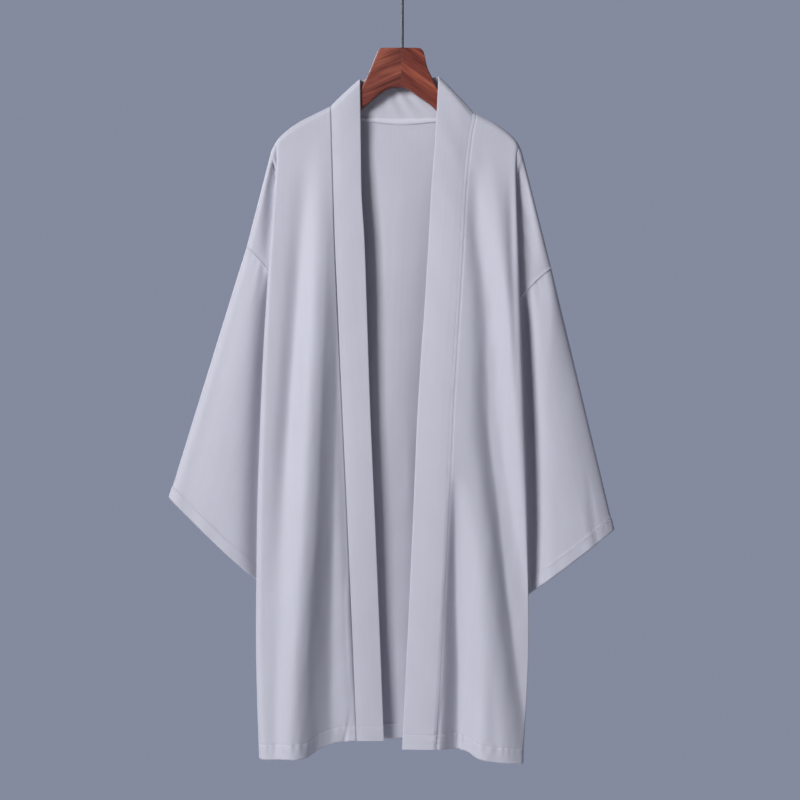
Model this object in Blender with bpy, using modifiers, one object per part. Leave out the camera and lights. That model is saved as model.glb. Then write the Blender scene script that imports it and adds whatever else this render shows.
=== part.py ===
"""Open-front hanfu jacket with wide sleeves, hanging on a flat wooden hanger.

Metres, +Z up. X runs to the viewer's right, Y away from the viewer, and the origin is the inside top of
the hook. Right and left are the wearer's, so the right half lies at -X. The cloth is thin walls: each panel
is a grid of sections worked out from the tables below and thickened.
"""

import math
from collections import namedtuple

import bpy
import numpy as np
from mathutils import Vector

OBJECT_NAME = "hanfu_jacket_on_hanger"

# Cloth
WALL = 0.0015
BAND_WALL = 0.0022
SEAM_GAP = 0.0003
RIDGE_HALF_GAP = 0.00045
SIDE_HALF_GAP = 0.00025
RIDGE_RADIUS = 0.0085
SLEEVE_EDGE_SHARE = 0.06
ARMHOLE_DEPTH = 0.0065
UNDERARM = 0.195
UNDERARM_CLEARANCE = 0.0035
UNDERARM_EASE_POWER = 8
CAP_BEND_LIMIT = 0.4
SLEEVE_START = 0.0015
EDGE_HEM_LIFT = 0.001
SIDE_HEM_LIFT = 0.008
BAND_PROUD = 0.002
BAND_CROWN = 0.0010
BAND_SEAM_GAP = 0.0006
BACK_EDGE_INSET = 0.003
BACK_INSET_DROP = 0.06
GUIDE_LEAVE = 0.06

# Back neck
BAND_NECK_DEPTH = 0.0115
BAND_NECK_POWER = 0.35
SHOULDER_RISE_TO_NECK = 0.45
NECK_SPREAD_END = 0.15
BACK_HEM_Z = -1.100

# Hanger
HANGER_HALF_THICKNESS = 0.0065
HANGER_END_THINNING = 0.0004
ARM_CLEARANCE = 0.0021
ARM_END_HEIGHT_SHARE = 0.68
ARM_END_LEAD = 0.006
ARM_END_SLOPE = 0.6
CORNER_STEPS = 2
WIRE_RADIUS = 0.00175
HOOK_RADIUS = 0.0195
SHANK_TOP_Z = -0.064
HEAD_TOP_Z = -0.130
HOOK_START_DEGREES = -38
HOOK_END_DEGREES = 212
HOOK_ARC_STEPS = 20
HOOK_SWEEP_STEPS = 8
HOOK_SWEEP_LIFT_SHARE = 0.6
HOOK_SWEEP_REACH = 0.016

# Rows down a panel, as shares of the way from the shoulder line to the hem
ROWS_TO_UNDERARM = (0, 0.0015, 0.005, 0.0105, 0.035, 0.075, 0.12, 0.16, 0.184, 0.192, UNDERARM)
ROWS_BELOW = 10
Columns = namedtuple("Columns", "face edge turn crease cap")
COLUMNS = {-1: Columns(12, 3, 3, 2, 3), 1: Columns(6, 2, 2, 2, 2)}
BAND_COLUMNS = 4
SLEEVE_ROWS = 9

# Places along the back neck from one shoulder to its middle, close together over the hanger
HALF_NECK_SHARES = (0, 0.004, 0.012, 0.028, 0.07, 0.16, 0.32)
NECK_SHARES = HALF_NECK_SHARES + (0.5,) + tuple(1 - share for share in HALF_NECK_SHARES[::-1])

Level = namedtuple("Level", "z seam edge side band_edge")
Depth = namedtuple("Depth", "z front turn cap back")
Out = namedtuple("Out", "out z")
Armhole = namedtuple("Armhole", "share crease seam")
FoldAt = namedtuple("FoldAt", "z out width height")
Sleeve = namedtuple("Sleeve", "along depth")
Neck = namedtuple("Neck", "x z")
Board = namedtuple("Board", "out top bottom round")
Cut = namedtuple(
    "Cut",
    "name sign levels shoulder tops hem armhole folds cuff_tip cuff_end cuff_bow band_top board arm_end",
)
Tops = namedtuple("Tops", "seam edge_front edge_behind crease_front crease_behind side")
ArmEnd = namedtuple("ArmEnd", "inward trim round_share")
Finish = namedtuple("Finish", "name colour roughness metallic")
CLOTH = Finish("grey_cloth", (0.56, 0.55, 0.60), 0.62, 0)
BAND_CLOTH = Finish("grey_band_cloth", (0.56, 0.55, 0.61), 0.60, 0)
DARK_WOOD = Finish("reddish_wood", (0.17, 0.045, 0.025), 0.45, 0)
LIGHT_WOOD = Finish("orange_wood", (0.26, 0.085, 0.035), 0.45, 0)
BLACK_WIRE = Finish("black_wire", (0.02, 0.02, 0.025), 0.35, 1)

# How far the cloth stands from the hanger's plane, level by level
DEPTHS = (
    Depth(-0.200, 0.0085, 0.0085, 0.0055, 0.0085),
    Depth(-0.260, 0.0095, 0.0090, 0.0055, 0.0095),
    Depth(-0.330, 0.0150, 0.0105, 0.0057, 0.0140),
    Depth(-0.400, 0.0200, 0.0120, 0.0060, 0.0195),
    Depth(-0.490, 0.0250, 0.0132, 0.0063, 0.0245),
    Depth(-0.620, 0.0300, 0.0138, 0.0065, 0.0285),
    Depth(-0.800, 0.0330, 0.0145, 0.0065, 0.0305),
    Depth(-1.130, 0.0360, 0.0150, 0.0065, 0.0310),
)

# Half thickness of the hanging sleeve, from armhole to cuff
SLEEVE_DEPTHS = (Sleeve(0, ARMHOLE_DEPTH), Sleeve(0.25, 0.0085), Sleeve(1, 0.0095))

# Rounded end of a hanger arm, section by section
ARM_END = (ArmEnd(0.0050, 0.0005, 1), ArmEnd(0.0015, 0.0030, 1), ArmEnd(0, 0.0060, 0.6))

# Back neck seam, from the right shoulder to the left
NECK_SEAM = (
    Neck(-0.1001, -0.2119),
    Neck(-0.0940, -0.2175),
    Neck(-0.0800, -0.2225),
    Neck(-0.0450, -0.2268),
    Neck(0.0000, -0.2285),
    Neck(0.0450, -0.2275),
    Neck(0.0780, -0.2262),
    Neck(0.0930, -0.2240),
    Neck(0.0987, -0.2203),
)

RIGHT = Cut(
    name="right",
    sign=-1,
    levels=(
        Level(-0.170, 0.1012, 0.1640, 0.1165, 0.0595),
        Level(-0.260, 0.0987, 0.1718, 0.1165, 0.0583),
        Level(-0.330, 0.0966, 0.1783, 0.1165, 0.0572),
        Level(-0.400, 0.0944, 0.1838, 0.1165, 0.0530),
        Level(-0.490, 0.0905, 0.1900, 0.1165, 0.0498),
        Level(-0.546, 0.0881, 0.1932, 0.1165, 0.0480),
        Level(-0.620, 0.0848, 0.1966, 0.1085, 0.0456),
        Level(-0.800, 0.0767, 0.2023, 0.1085, 0.0379),
        Level(-0.950, 0.0704, 0.2037, 0.1090, 0.0317),
        Level(-1.130, 0.0628, 0.1993, 0.1090, 0.0248),
    ),
    shoulder=(
        Out(0.1001, -0.2119),
        Out(0.1210, -0.2217),
        Out(0.1477, -0.2354),
        Out(0.1708, -0.2542),
        Out(0.1851, -0.2774),
        Out(0.1957, -0.3095),
        Out(0.2047, -0.3435),
        Out(0.2177, -0.4079),
    ),
    tops=Tops(0.1001, 0.1715, 0.1790, 0.1905, 0.1957, 0.2177),
    hem=(
        Out(0.0260, -1.1009),
        Out(0.0805, -1.1009),
        Out(0.1015, -1.1040),
        Out(0.1180, -1.1055),
        Out(0.1435, -1.1215),
        Out(0.1995, -1.1225),
    ),
    armhole=(
        Armhole(0, 0.1905, 0.2177),
        Armhole(0.1, 0.1770, 0.2056),
        Armhole(0.25, 0.1560, 0.1880),
        Armhole(0.6, 0.1290, 0.1500),
        Armhole(1, 0.1165, 0.1165),
    ),
    folds=dict(
        broad_ridge=(
            FoldAt(-0.26, 0.1250, 0.016, 0),
            FoldAt(-0.33, 0.1285, 0.018, 0.0025),
            FoldAt(-0.64, 0.1435, 0.022, 0.0060),
            FoldAt(-0.95, 0.1533, 0.024, 0.0085),
            FoldAt(-1.13, 0.1560, 0.026, 0.0095),
        ),
        trough_by_band=(
            FoldAt(-0.42, 0.1000, 0.0080, 0),
            FoldAt(-0.57, 0.1057, 0.0090, -0.0040),
            FoldAt(-0.76, 0.1155, 0.0105, -0.0090),
            FoldAt(-0.90, 0.1197, 0.0120, -0.0130),
            FoldAt(-1.13, 0.1300, 0.0135, -0.0160),
        ),
        ridge_by_band=(
            FoldAt(-0.80, 0.0900, 0.008, 0),
            FoldAt(-0.90, 0.0900, 0.008, 0.0030),
            FoldAt(-1.13, 0.0915, 0.009, 0.0045),
        ),
    ),
    cuff_tip=Out(0.3269, -0.7607),
    cuff_end=Out(0.1270, -0.9420),
    cuff_bow=0.004,
    band_top=Out(0.0595, -0.1740),
    board=(
        Board(0.0020, -0.1300, -0.1853, 0.0030),
        Board(0.0220, -0.1300, -0.1880, 0.0030),
        Board(0.0300, -0.1303, -0.1935, 0.0030),
        Board(0.0334, -0.1335, -0.1962, 0.0030),
        Board(0.0413, -0.1514, -0.2028, 0.0030),
        Board(0.0497, -0.1709, -0.2098, 0.0035),
        Board(0.0578, -0.1838, -0.2165, 0.0050),
        Board(0.0780, -0.2000, -0.2310, 0.0055),
    ),
    arm_end=0.1690,
)

LEFT = Cut(
    name="left",
    sign=1,
    levels=(
        Level(-0.170, 0.1020, 0.1500, 0.0915, 0.0504),
        Level(-0.260, 0.0910, 0.1562, 0.0915, 0.0456),
        Level(-0.330, 0.0843, 0.1587, 0.0915, 0.0402),
        Level(-0.400, 0.0803, 0.1610, 0.0915, 0.0364),
        Level(-0.490, 0.0748, 0.1640, 0.0915, 0.0309),
        Level(-0.571, 0.0697, 0.1668, 0.0915, 0.0252),
        Level(-0.640, 0.0656, 0.1692, 0.0840, 0.0209),
        Level(-0.800, 0.0587, 0.1738, 0.0830, 0.0141),
        Level(-0.950, 0.0513, 0.1758, 0.0820, 0.0072),
        Level(-1.130, 0.0416, 0.1680, 0.0800, -0.0017),
    ),
    shoulder=(
        Out(0.0987, -0.2203),
        Out(0.1160, -0.2283),
        Out(0.1323, -0.2371),
        Out(0.1575, -0.2581),
        Out(0.1687, -0.2791),
        Out(0.1785, -0.3141),
        Out(0.1925, -0.3799),
        Out(0.2079, -0.4373),
    ),
    tops=Tops(0.0987, 0.1580, 0.1640, 0.1735, 0.1785, 0.2079),
    hem=(
        Out(-0.0010, -1.1093),
        Out(0.0600, -1.1093),
        Out(0.0860, -1.1120),
        Out(0.1085, -1.1233),
        Out(0.1680, -1.1303),
    ),
    armhole=(
        Armhole(0, 0.1735, 0.2079),
        Armhole(0.1, 0.1590, 0.1925),
        Armhole(0.25, 0.1350, 0.1725),
        Armhole(0.6, 0.1050, 0.1325),
        Armhole(1, 0.0915, 0.0915),
    ),
    folds=dict(
        slanting_trough=(
            FoldAt(-0.30, 0.0905, 0.008, 0),
            FoldAt(-0.57, 0.0987, 0.009, -0.0045),
            FoldAt(-0.68, 0.1057, 0.010, -0.0070),
            FoldAt(-0.78, 0.1197, 0.011, -0.0100),
            FoldAt(-0.86, 0.1365, 0.011, -0.0120),
            FoldAt(-0.97, 0.1505, 0.010, -0.0090),
            FoldAt(-1.06, 0.1673, 0.009, -0.0030),
            FoldAt(-1.13, 0.1750, 0.009, 0),
        ),
        ridge_by_edge=(
            FoldAt(-0.28, 0.1180, 0.012, 0),
            FoldAt(-0.57, 0.1407, 0.013, 0.0045),
            FoldAt(-0.72, 0.1547, 0.012, 0.0045),
            FoldAt(-0.90, 0.1715, 0.010, 0.0030),
            FoldAt(-1.00, 0.1780, 0.010, 0),
        ),
        trough_by_band=(
            FoldAt(-0.70, 0.0705, 0.0070, 0),
            FoldAt(-0.79, 0.0693, 0.0080, -0.0035),
            FoldAt(-0.95, 0.0665, 0.0100, -0.0090),
            FoldAt(-1.13, 0.0700, 0.0130, -0.0135),
        ),
        broad_ridge=(
            FoldAt(-0.82, 0.1040, 0.018, 0),
            FoldAt(-0.96, 0.1040, 0.022, 0.0060),
            FoldAt(-1.13, 0.1030, 0.022, 0.0085),
        ),
    ),
    cuff_tip=Out(0.2961, -0.8055),
    cuff_end=Out(0.0895, -0.9612),
    cuff_bow=0.001,
    band_top=Out(0.0504, -0.1700),
    board=(
        Board(-0.0020, -0.1300, -0.1853, 0.0030),
        Board(0.0120, -0.1300, -0.1912, 0.0030),
        Board(0.0235, -0.1304, -0.1990, 0.0030),
        Board(0.0290, -0.1345, -0.2027, 0.0030),
        Board(0.0347, -0.1572, -0.2065, 0.0030),
        Board(0.0412, -0.1710, -0.2118, 0.0035),
        Board(0.0484, -0.1853, -0.2188, 0.0050),
        Board(0.0740, -0.2070, -0.2370, 0.0055),
    ),
    arm_end=0.1555,
)

# Large soft folds of the back, at places across it
BACK_FOLDS = dict(
    ridge_right=(
        FoldAt(-0.32, -0.0900, 0.022, 0),
        FoldAt(-0.70, -0.1050, 0.024, 0.0050),
        FoldAt(-1.13, -0.1200, 0.026, 0.0085),
    ),
    trough_right=(
        FoldAt(-0.45, -0.0450, 0.014, 0),
        FoldAt(-0.80, -0.0560, 0.016, -0.0050),
        FoldAt(-1.13, -0.0650, 0.018, -0.0090),
    ),
    ridge_left=(
        FoldAt(-0.50, 0.0350, 0.020, 0),
        FoldAt(-0.85, 0.0450, 0.022, 0.0040),
        FoldAt(-1.13, 0.0500, 0.024, 0.0070),
    ),
    trough_left=(
        FoldAt(-0.40, 0.0850, 0.012, 0),
        FoldAt(-0.80, 0.1000, 0.014, -0.0050),
        FoldAt(-1.13, 0.1120, 0.016, -0.0080),
    ),
)


def clear_scene():
    for obj in list(bpy.data.objects):
        bpy.data.objects.remove(obj, do_unlink=True)


def smooth(rows, key, column):
    """A curve through one column of a table that is smooth and never overshoots its rows."""
    rows = sorted(rows, key=lambda row: getattr(row, key))
    places = np.array([getattr(row, key) for row in rows], float)
    values = np.array([getattr(row, column) for row in rows], float)
    rises = np.diff(values) / np.diff(places)
    slopes = np.zeros(len(rows))
    slopes[0], slopes[-1] = rises[0], rises[-1]
    for i in range(1, len(rows) - 1):
        if rises[i - 1] * rises[i] > 0:
            slopes[i] = 2 * rises[i - 1] * rises[i] / (rises[i - 1] + rises[i])

    def curve(where):
        where = min(max(where, places[0]), places[-1])
        i = min(int(np.searchsorted(places, where, "right")) - 1, len(rows) - 2)
        span = places[i + 1] - places[i]
        u = (where - places[i]) / span
        start = values[i] * (1 + 2 * u) * (1 - u) ** 2 + slopes[i] * span * u * (1 - u) ** 2
        end = values[i + 1] * (3 - 2 * u) * u**2 + slopes[i + 1] * span * u**2 * (u - 1)
        return float(start + end)

    return curve


def mix(first, second, share):
    return first + (second - first) * share


def round_over(drop, radius):
    """Share of the full depth that a rounded ridge has reached this far below its top."""
    share = min(max(drop / radius, 0), 1)
    return math.sqrt(1 - (1 - share) ** 2)


def flat_tube(share):
    """Share of the half thickness of a flattened tube, from its top edge (0) to its lower edge (1)."""
    return round_over(share, SLEEVE_EDGE_SHARE) * round_over(1 - share, SLEEVE_EDGE_SHARE)


class Folds:
    """Soft ridges and troughs that wander down a panel, one table for each."""

    def __init__(self, tables):
        self.lines = []
        for rows in tables.values():
            lines = [smooth(rows, "z", column) for column in ("out", "width", "height")]
            self.lines.append(lines)

    def height(self, out, z):
        total = 0
        for place, width, height in self.lines:
            total += height(z) * math.exp(-(((out - place(z)) / width(z)) ** 2))
        return total


front_depth = smooth(DEPTHS, "z", "front")
turn_depth = smooth(DEPTHS, "z", "turn")
cap_depth = smooth(DEPTHS, "z", "cap")
back_depth = smooth(DEPTHS, "z", "back")
neck_seam_z = smooth(NECK_SEAM, "x", "z")
sleeve_depth = smooth(SLEEVE_DEPTHS, "along", "depth")
back_folds = Folds(BACK_FOLDS)


class Half:
    """One half of the jacket: the smooth lines from which its sections are worked out.

    A section runs from the band seam over the face to the outer fold, turns behind it to the inner crease,
    and from there goes out over the shoulder cap to the armhole, or meets the other panel at the side seam.
    """

    def __init__(self, cut):
        self.cut = cut
        self.sign = cut.sign
        self.shoulder_z = smooth(cut.shoulder, "out", "z")
        self.hem_z = smooth(cut.hem, "out", "z")
        self.seam = smooth(cut.levels, "z", "seam")
        self.edge = smooth(cut.levels, "z", "edge")
        self.side = smooth(cut.levels, "z", "side")
        self.band_edge = smooth(cut.levels, "z", "band_edge")
        self.crease = smooth(cut.armhole, "share", "crease")
        self.armhole = smooth(cut.armhole, "share", "seam")
        self.folds = Folds(cut.folds)
        self.edge_hem = self.hem_z(self.edge(cut.hem[-1].z))

    def face_point(self, face, share, t):
        """A point of the visible face, between the band seam (0) and the outer fold (1)."""
        tops = self.cut.tops
        top_out = mix(tops.seam, tops.edge_front, share)
        top_z = self.shoulder_z(top_out)
        if face < 0:
            hem_out = mix(self.seam(self.cut.hem[0].z), self.edge(self.cut.hem[-1].z), share)
            hem_z = self.hem_z(hem_out)
        else:
            hem_z = mix(BACK_HEM_Z, self.edge_hem, share**2)
        z = mix(top_z, hem_z, t)
        drop = top_z - z
        leave = max(0, 1 - drop / GUIDE_LEAVE) ** 2
        seam = self.seam(z) + (tops.seam - self.seam(top_z)) * leave
        edge = self.edge(z) + (tops.edge_front - self.edge(self.shoulder_z(tops.edge_front))) * leave
        if face < 0:
            out = mix(seam, edge, share)
            depth = front_depth(z) + self.folds.height(out, z)
        else:
            out = mix(tops.seam, edge - BACK_EDGE_INSET * min(1, drop / BACK_INSET_DROP), share)
            depth = back_depth(z) + back_folds.height(self.sign * out, z)
        depth = max(depth * round_over(drop, RIDGE_RADIUS), RIDGE_HALF_GAP)
        return Vector((self.sign * out, face * depth, z))

    def edge_behind(self, face, t):
        """A point of the outer fold's far side."""
        top_out = self.cut.tops.edge_behind
        top_z = self.shoulder_z(top_out)
        z = mix(top_z, self.edge_hem + EDGE_HEM_LIFT, t)
        drop = top_z - z
        leave = max(0, 1 - drop / GUIDE_LEAVE) ** 2
        out = self.edge(z) + (top_out - self.edge(top_z)) * leave
        if face > 0:
            out -= BACK_EDGE_INSET * min(1, drop / BACK_INSET_DROP)
        depth = max(turn_depth(z) * round_over(drop, RIDGE_RADIUS), RIDGE_HALF_GAP)
        return Vector((self.sign * out, face * depth, z))

    def crease_point(self, face, name, t, depth):
        """A point of the inner crease, which runs down to the underarm and on beside the side seam."""
        top_out = getattr(self.cut.tops, name)
        top_z = self.shoulder_z(top_out)
        if t < UNDERARM:
            share = t / UNDERARM
            z = mix(top_z, self.side_point(face, UNDERARM).z, share)
            out = self.crease(share) + (top_out - self.crease(0)) * max(0, 1 - 2 * share) ** 2
        else:
            side = self.side_point(face, t)
            out, z = abs(side.x), side.z
        depth = max(depth(z) * round_over(top_z - z, RIDGE_RADIUS), RIDGE_HALF_GAP)
        return Vector((self.sign * out, face * depth, z))

    def side_point(self, face, t):
        """A point of the armhole seam, or of the side seam below the underarm."""
        top_z = self.shoulder_z(self.cut.tops.side)
        z = mix(top_z, self.edge_hem + SIDE_HEM_LIFT, t)
        if t < UNDERARM:
            out = self.armhole(t / UNDERARM)
            depth = max(ARMHOLE_DEPTH * flat_tube(t / UNDERARM), RIDGE_HALF_GAP)
        else:
            out = self.side(z)
            depth = SIDE_HALF_GAP
        return Vector((self.sign * out, face * depth, z))

    def section(self, face, t):
        """One row of a panel, from the band seam to the armhole or side seam."""
        edge_front = self.face_point(face, 1, t)
        edge_behind = self.edge_behind(face, t)
        crease_front = self.crease_point(face, "crease_front", t, turn_depth)
        crease_behind = self.crease_point(face, "crease_behind", t, cap_depth)
        side = self.side_point(face, t)
        fold = (edge_behind - edge_front).length / 2
        width = (edge_front - self.face_point(face, 0, t)).length
        last = 1 - fold / width
        columns = COLUMNS[face]
        shares = [last * i / columns.face for i in range(columns.face + 1)]
        points = [self.face_point(face, share, t) for share in shares]
        middle = (edge_front + edge_behind) / 2
        points += bend(points[-1], edge_front, middle, columns.edge)
        turn_start = edge_behind + (crease_front - edge_behind).normalized() * fold
        points += bend(middle, edge_behind, turn_start, columns.edge)
        tuck = (crease_behind - crease_front).length / 2
        turn_end = crease_front + (edge_behind - crease_front).normalized() * tuck
        points += straight(turn_start, turn_end, columns.turn)
        middle = (crease_front + crease_behind) / 2
        points += bend(turn_end, crease_front, middle, columns.crease)
        cap = side - crease_behind
        cap_start = crease_behind + cap * min(CAP_BEND_LIMIT, tuck / cap.length)
        points += bend(middle, crease_behind, cap_start, columns.crease)
        points += straight(cap_start, side, columns.cap)
        return points


def bend(start, corner, end, count):
    """Points of a soft corner, without its start."""
    shares = [i / count for i in range(1, count + 1)]
    return [mix(mix(start, corner, u), mix(corner, end, u), u) for u in shares]


def straight(start, end, count):
    return [mix(start, end, i / count) for i in range(1, count + 1)]


def panel_rows():
    below = [mix(UNDERARM, 1, i / ROWS_BELOW) for i in range(1, ROWS_BELOW + 1)]
    return list(ROWS_TO_UNDERARM) + below


def neck_point(right, left, share, t):
    """A point of the back below the neck seam; the seam itself is t = 0."""
    start, end = -right.cut.tops.seam, left.cut.tops.seam
    top_x = mix(start, end, share)
    top_z = neck_seam_z(top_x)
    half = right if top_x < 0 else left
    ridge_z = half.cut.shoulder[0].z + SHOULDER_RISE_TO_NECK * (half.cut.tops.seam - abs(top_x))
    z = mix(top_z, BACK_HEM_Z, t)
    even = NECK_SHARES.index(share) / (len(NECK_SHARES) - 1)
    x = mix(top_x, mix(start, end, even), min(1, t / NECK_SPREAD_END))
    depth = (back_depth(z) + back_folds.height(x, z)) * round_over(ridge_z - z, RIDGE_RADIUS)
    return Vector((x, max(depth, RIDGE_HALF_GAP), z))


def back_row(right, left, t):
    middle = [neck_point(right, left, share, t) for share in NECK_SHARES[1:-1]]
    return right.section(1, t)[::-1] + middle + left.section(1, t)


def band_front_edge(half, t):
    """A point of the band's free edge in front."""
    top = half.cut.band_top
    z = mix(top.z, half.cut.hem[0].z, t)
    depth = (front_depth(z) + BAND_PROUD) * round_over(top.z - z, RIDGE_RADIUS)
    return Vector((half.sign * half.band_edge(z), -depth, z))


def band_neck_edge(right, left, share):
    """A point of the band's free edge behind the hanger's head."""
    x = mix(-right.cut.band_top.out, left.cut.band_top.out, share)
    depth = BAND_NECK_DEPTH * (2 * math.sqrt(share * (1 - share))) ** BAND_NECK_POWER
    return Vector((x, depth, mix(right.cut.band_top.z, left.cut.band_top.z, share)))


def band_rows(right, left):
    """Pairs of seam and free edge, from the right hem over the neck to the left hem."""
    rows = panel_rows()
    pairs = [(right.face_point(-1, 0, t), band_front_edge(right, t)) for t in rows[:0:-1]]
    for share in NECK_SHARES:
        pairs.append((neck_point(right, left, share, 0), band_neck_edge(right, left, share)))
    pairs += [(left.face_point(-1, 0, t), band_front_edge(left, t)) for t in rows[1:]]
    return pairs


def band_points(right, left):
    grid = []
    pairs = band_rows(right, left)
    for i, (seam, edge) in enumerate(pairs):
        before, after = pairs[max(i - 1, 0)], pairs[min(i + 1, len(pairs) - 1)]
        across = edge - seam
        along = (after[0] + after[1]) - (before[0] + before[1])
        outward = across.cross(along).normalized()
        start = BAND_SEAM_GAP / across.length
        shares = [mix(start, 1, j / BAND_COLUMNS) for j in range(BAND_COLUMNS + 1)]
        grid.append([seam + across * u + outward * (BAND_CROWN * 4 * u * (1 - u)) for u in shares])
    return grid


def sleeve_ring(half, along):
    """One ring of a sleeve, down its front from the top edge and up its back."""
    cut = half.cut
    tip = Vector((cut.cuff_tip.out, cut.cuff_tip.z))
    end = Vector((cut.cuff_end.out, cut.cuff_end.z))
    fall = (end - tip).orthogonal().normalized()
    fall *= -math.copysign(1, fall.y)
    rows = ROWS_TO_UNDERARM
    stations = [(-1, t / UNDERARM) for t in rows] + [(1, t / UNDERARM) for t in rows[-2:0:-1]]
    ring = []
    for face, share in stations:
        start = half.side_point(face, min(share, 1) * UNDERARM)
        start_out = abs(start.x) + UNDERARM_CLEARANCE * share**UNDERARM_EASE_POWER
        cuff = mix(tip, end, share) + fall * (cut.cuff_bow * math.sin(math.pi * share))
        depth = sleeve_depth(along) * flat_tube(share)
        out = mix(start_out, cuff.x, along)
        ring.append(Vector((half.sign * out, face * depth, mix(start.z, cuff.y, along))))
    return ring


def sleeve_points(half):
    places = [mix(SLEEVE_START, 1, i / SLEEVE_ROWS) for i in range(SLEEVE_ROWS + 1)]
    return [sleeve_ring(half, along) for along in places]


def board_ring(half, board):
    """A rounded-rectangle section across the hanger."""
    corner = board.round
    across = HANGER_HALF_THICKNESS - HANGER_END_THINNING * (board.out / half.cut.arm_end) ** 2 - corner
    ring = []
    for quarter in range(4):
        side_y = 1 if quarter in (0, 3) else -1
        side_z = board.top - corner if quarter in (0, 1) else board.bottom + corner
        for step in range(CORNER_STEPS + 1):
            angle = math.radians(90 * (quarter + step / CORNER_STEPS))
            y = side_y * across + corner * math.cos(angle)
            ring.append(Vector((half.sign * board.out, y, side_z + corner * math.sin(angle))))
    return ring


def board_sections(half):
    """Sections of one hanger half: the head by its rows, then the arm along the shoulder."""
    cut = half.cut
    boards = list(cut.board)
    first = boards[0]
    boards[0] = first._replace(out=first.out + SEAM_GAP / 2)
    count = COLUMNS[1].face
    places = [mix(cut.tops.seam, cut.tops.edge_front, i / count) for i in range(count)]
    start = boards[-1]
    height = start.top - start.bottom
    for out in [place for place in places if place < cut.arm_end - ARM_END_LEAD]:
        along = (out - start.out) / (cut.arm_end - start.out)
        top = half.shoulder_z(out) - ARM_CLEARANCE
        bottom = top - height * mix(1, ARM_END_HEIGHT_SHARE, along)
        boards.append(Board(out, top, bottom, start.round))
    last = boards[-1]
    for end in ARM_END:
        out = cut.arm_end - end.inward
        top = half.shoulder_z(out) - ARM_CLEARANCE - end.trim
        bottom = last.bottom - (out - last.out) * ARM_END_SLOPE + end.trim
        boards.append(Board(out, top, bottom, start.round * end.round_share))
    return boards


def material(piece, finish):
    made = bpy.data.materials.new(piece + "_" + finish.name)
    made.use_nodes = True
    shader = made.node_tree.nodes["Principled BSDF"]
    shader.inputs["Base Color"].default_value = (*finish.colour, 1)
    shader.inputs["Roughness"].default_value = finish.roughness
    shader.inputs["Metallic"].default_value = finish.metallic
    return made


def grid_mesh(name, rows, ring=False, capped=False):
    """A mesh through rows of points, closed round each row for a ring, and over the ends if capped."""
    columns = len(rows[0])
    faces = []
    for i in range(len(rows) - 1):
        for j in range(columns if ring else columns - 1):
            k = (j + 1) % columns
            start, below = i * columns, (i + 1) * columns
            faces.append((start + j, below + j, below + k, start + k))
    if capped:
        faces.append(tuple(range(columns)))
        faces.append(tuple(range(len(rows) * columns - 1, (len(rows) - 1) * columns - 1, -1)))
    mesh = bpy.data.meshes.new(name)
    mesh.from_pydata([point for row in rows for point in row], [], faces)
    mesh.shade_smooth()
    return mesh


def add_object(name, data, finish, collection):
    obj = bpy.data.objects.new(name, data)
    data.materials.append(material(name, finish))
    collection.objects.link(obj)
    return obj


def add_cloth(name, rows, wall, finish, collection, ring=False):
    """A cloth piece: its surface thickened half to each side."""
    obj = add_object(name, grid_mesh(name, rows, ring), finish, collection)
    thicken = obj.modifiers.new("wall", "SOLIDIFY")
    thicken.thickness = wall
    thicken.offset = 0
    return obj


def add_hanger_half(half, finish, collection):
    rows = [board_ring(half, board) for board in board_sections(half)]
    if half.sign > 0:
        rows = [ring[::-1] for ring in rows]
    mesh = grid_mesh("hanger_half_" + half.cut.name, rows, ring=True, capped=True)
    add_object(mesh.name, mesh, finish, collection)


def hook_path():
    """The wire's middle line: straight up from the head, out to one side and round over the top."""
    centre_z = WIRE_RADIUS - HOOK_RADIUS
    start, end = math.radians(HOOK_START_DEGREES), math.radians(HOOK_END_DEGREES)
    arc = []
    for i in range(HOOK_ARC_STEPS + 1):
        angle = mix(start, end, i / HOOK_ARC_STEPS)
        arc.append(Vector((HOOK_RADIUS * math.cos(angle), 0, centre_z + HOOK_RADIUS * math.sin(angle))))
    shank = [Vector((0, 0, HEAD_TOP_Z + SEAM_GAP)), Vector((0, 0, SHANK_TOP_Z))]
    heading = Vector((math.sin(start), 0, -math.cos(start)))
    lift = Vector((0, 0, (arc[0].z - SHANK_TOP_Z) * HOOK_SWEEP_LIFT_SHARE))
    first, last = shank[1], arc[0]
    second, third = first + lift, last + heading * HOOK_SWEEP_REACH
    sweep = []
    for i in range(1, HOOK_SWEEP_STEPS):
        u = i / HOOK_SWEEP_STEPS
        near = mix(mix(first, second, u), mix(second, third, u), u)
        far = mix(mix(second, third, u), mix(third, last, u), u)
        sweep.append(mix(near, far, u))
    return shank + sweep + arc


def add_hook(finish, collection):
    wire = bpy.data.curves.new("hanger_hook", "CURVE")
    wire.dimensions = "3D"
    wire.bevel_depth = WIRE_RADIUS
    wire.bevel_resolution = 2
    wire.use_fill_caps = True
    path = hook_path()
    spline = wire.splines.new("POLY")
    spline.points.add(len(path) - 1)
    for point, place in zip(spline.points, path):
        point.co = (*place, 1)
    add_object("hanger_hook", wire, finish, collection)


def main():
    clear_scene()
    collection = bpy.data.collections.new(OBJECT_NAME)
    bpy.context.scene.collection.children.link(collection)
    right, left = Half(RIGHT), Half(LEFT)
    rows = panel_rows()
    for half, wood in ((right, DARK_WOOD), (left, LIGHT_WOOD)):
        front = [half.section(-1, t) for t in rows]
        add_cloth("front_" + half.cut.name, front, WALL, CLOTH, collection)
        add_cloth("sleeve_" + half.cut.name, sleeve_points(half), WALL, CLOTH, collection, ring=True)
        add_hanger_half(half, wood, collection)
    add_cloth("back", [back_row(right, left, t) for t in rows], WALL, CLOTH, collection)
    add_cloth("neck_band", band_points(right, left), BAND_WALL, BAND_CLOTH, collection)
    add_hook(BLACK_WIRE, collection)


main()
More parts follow.
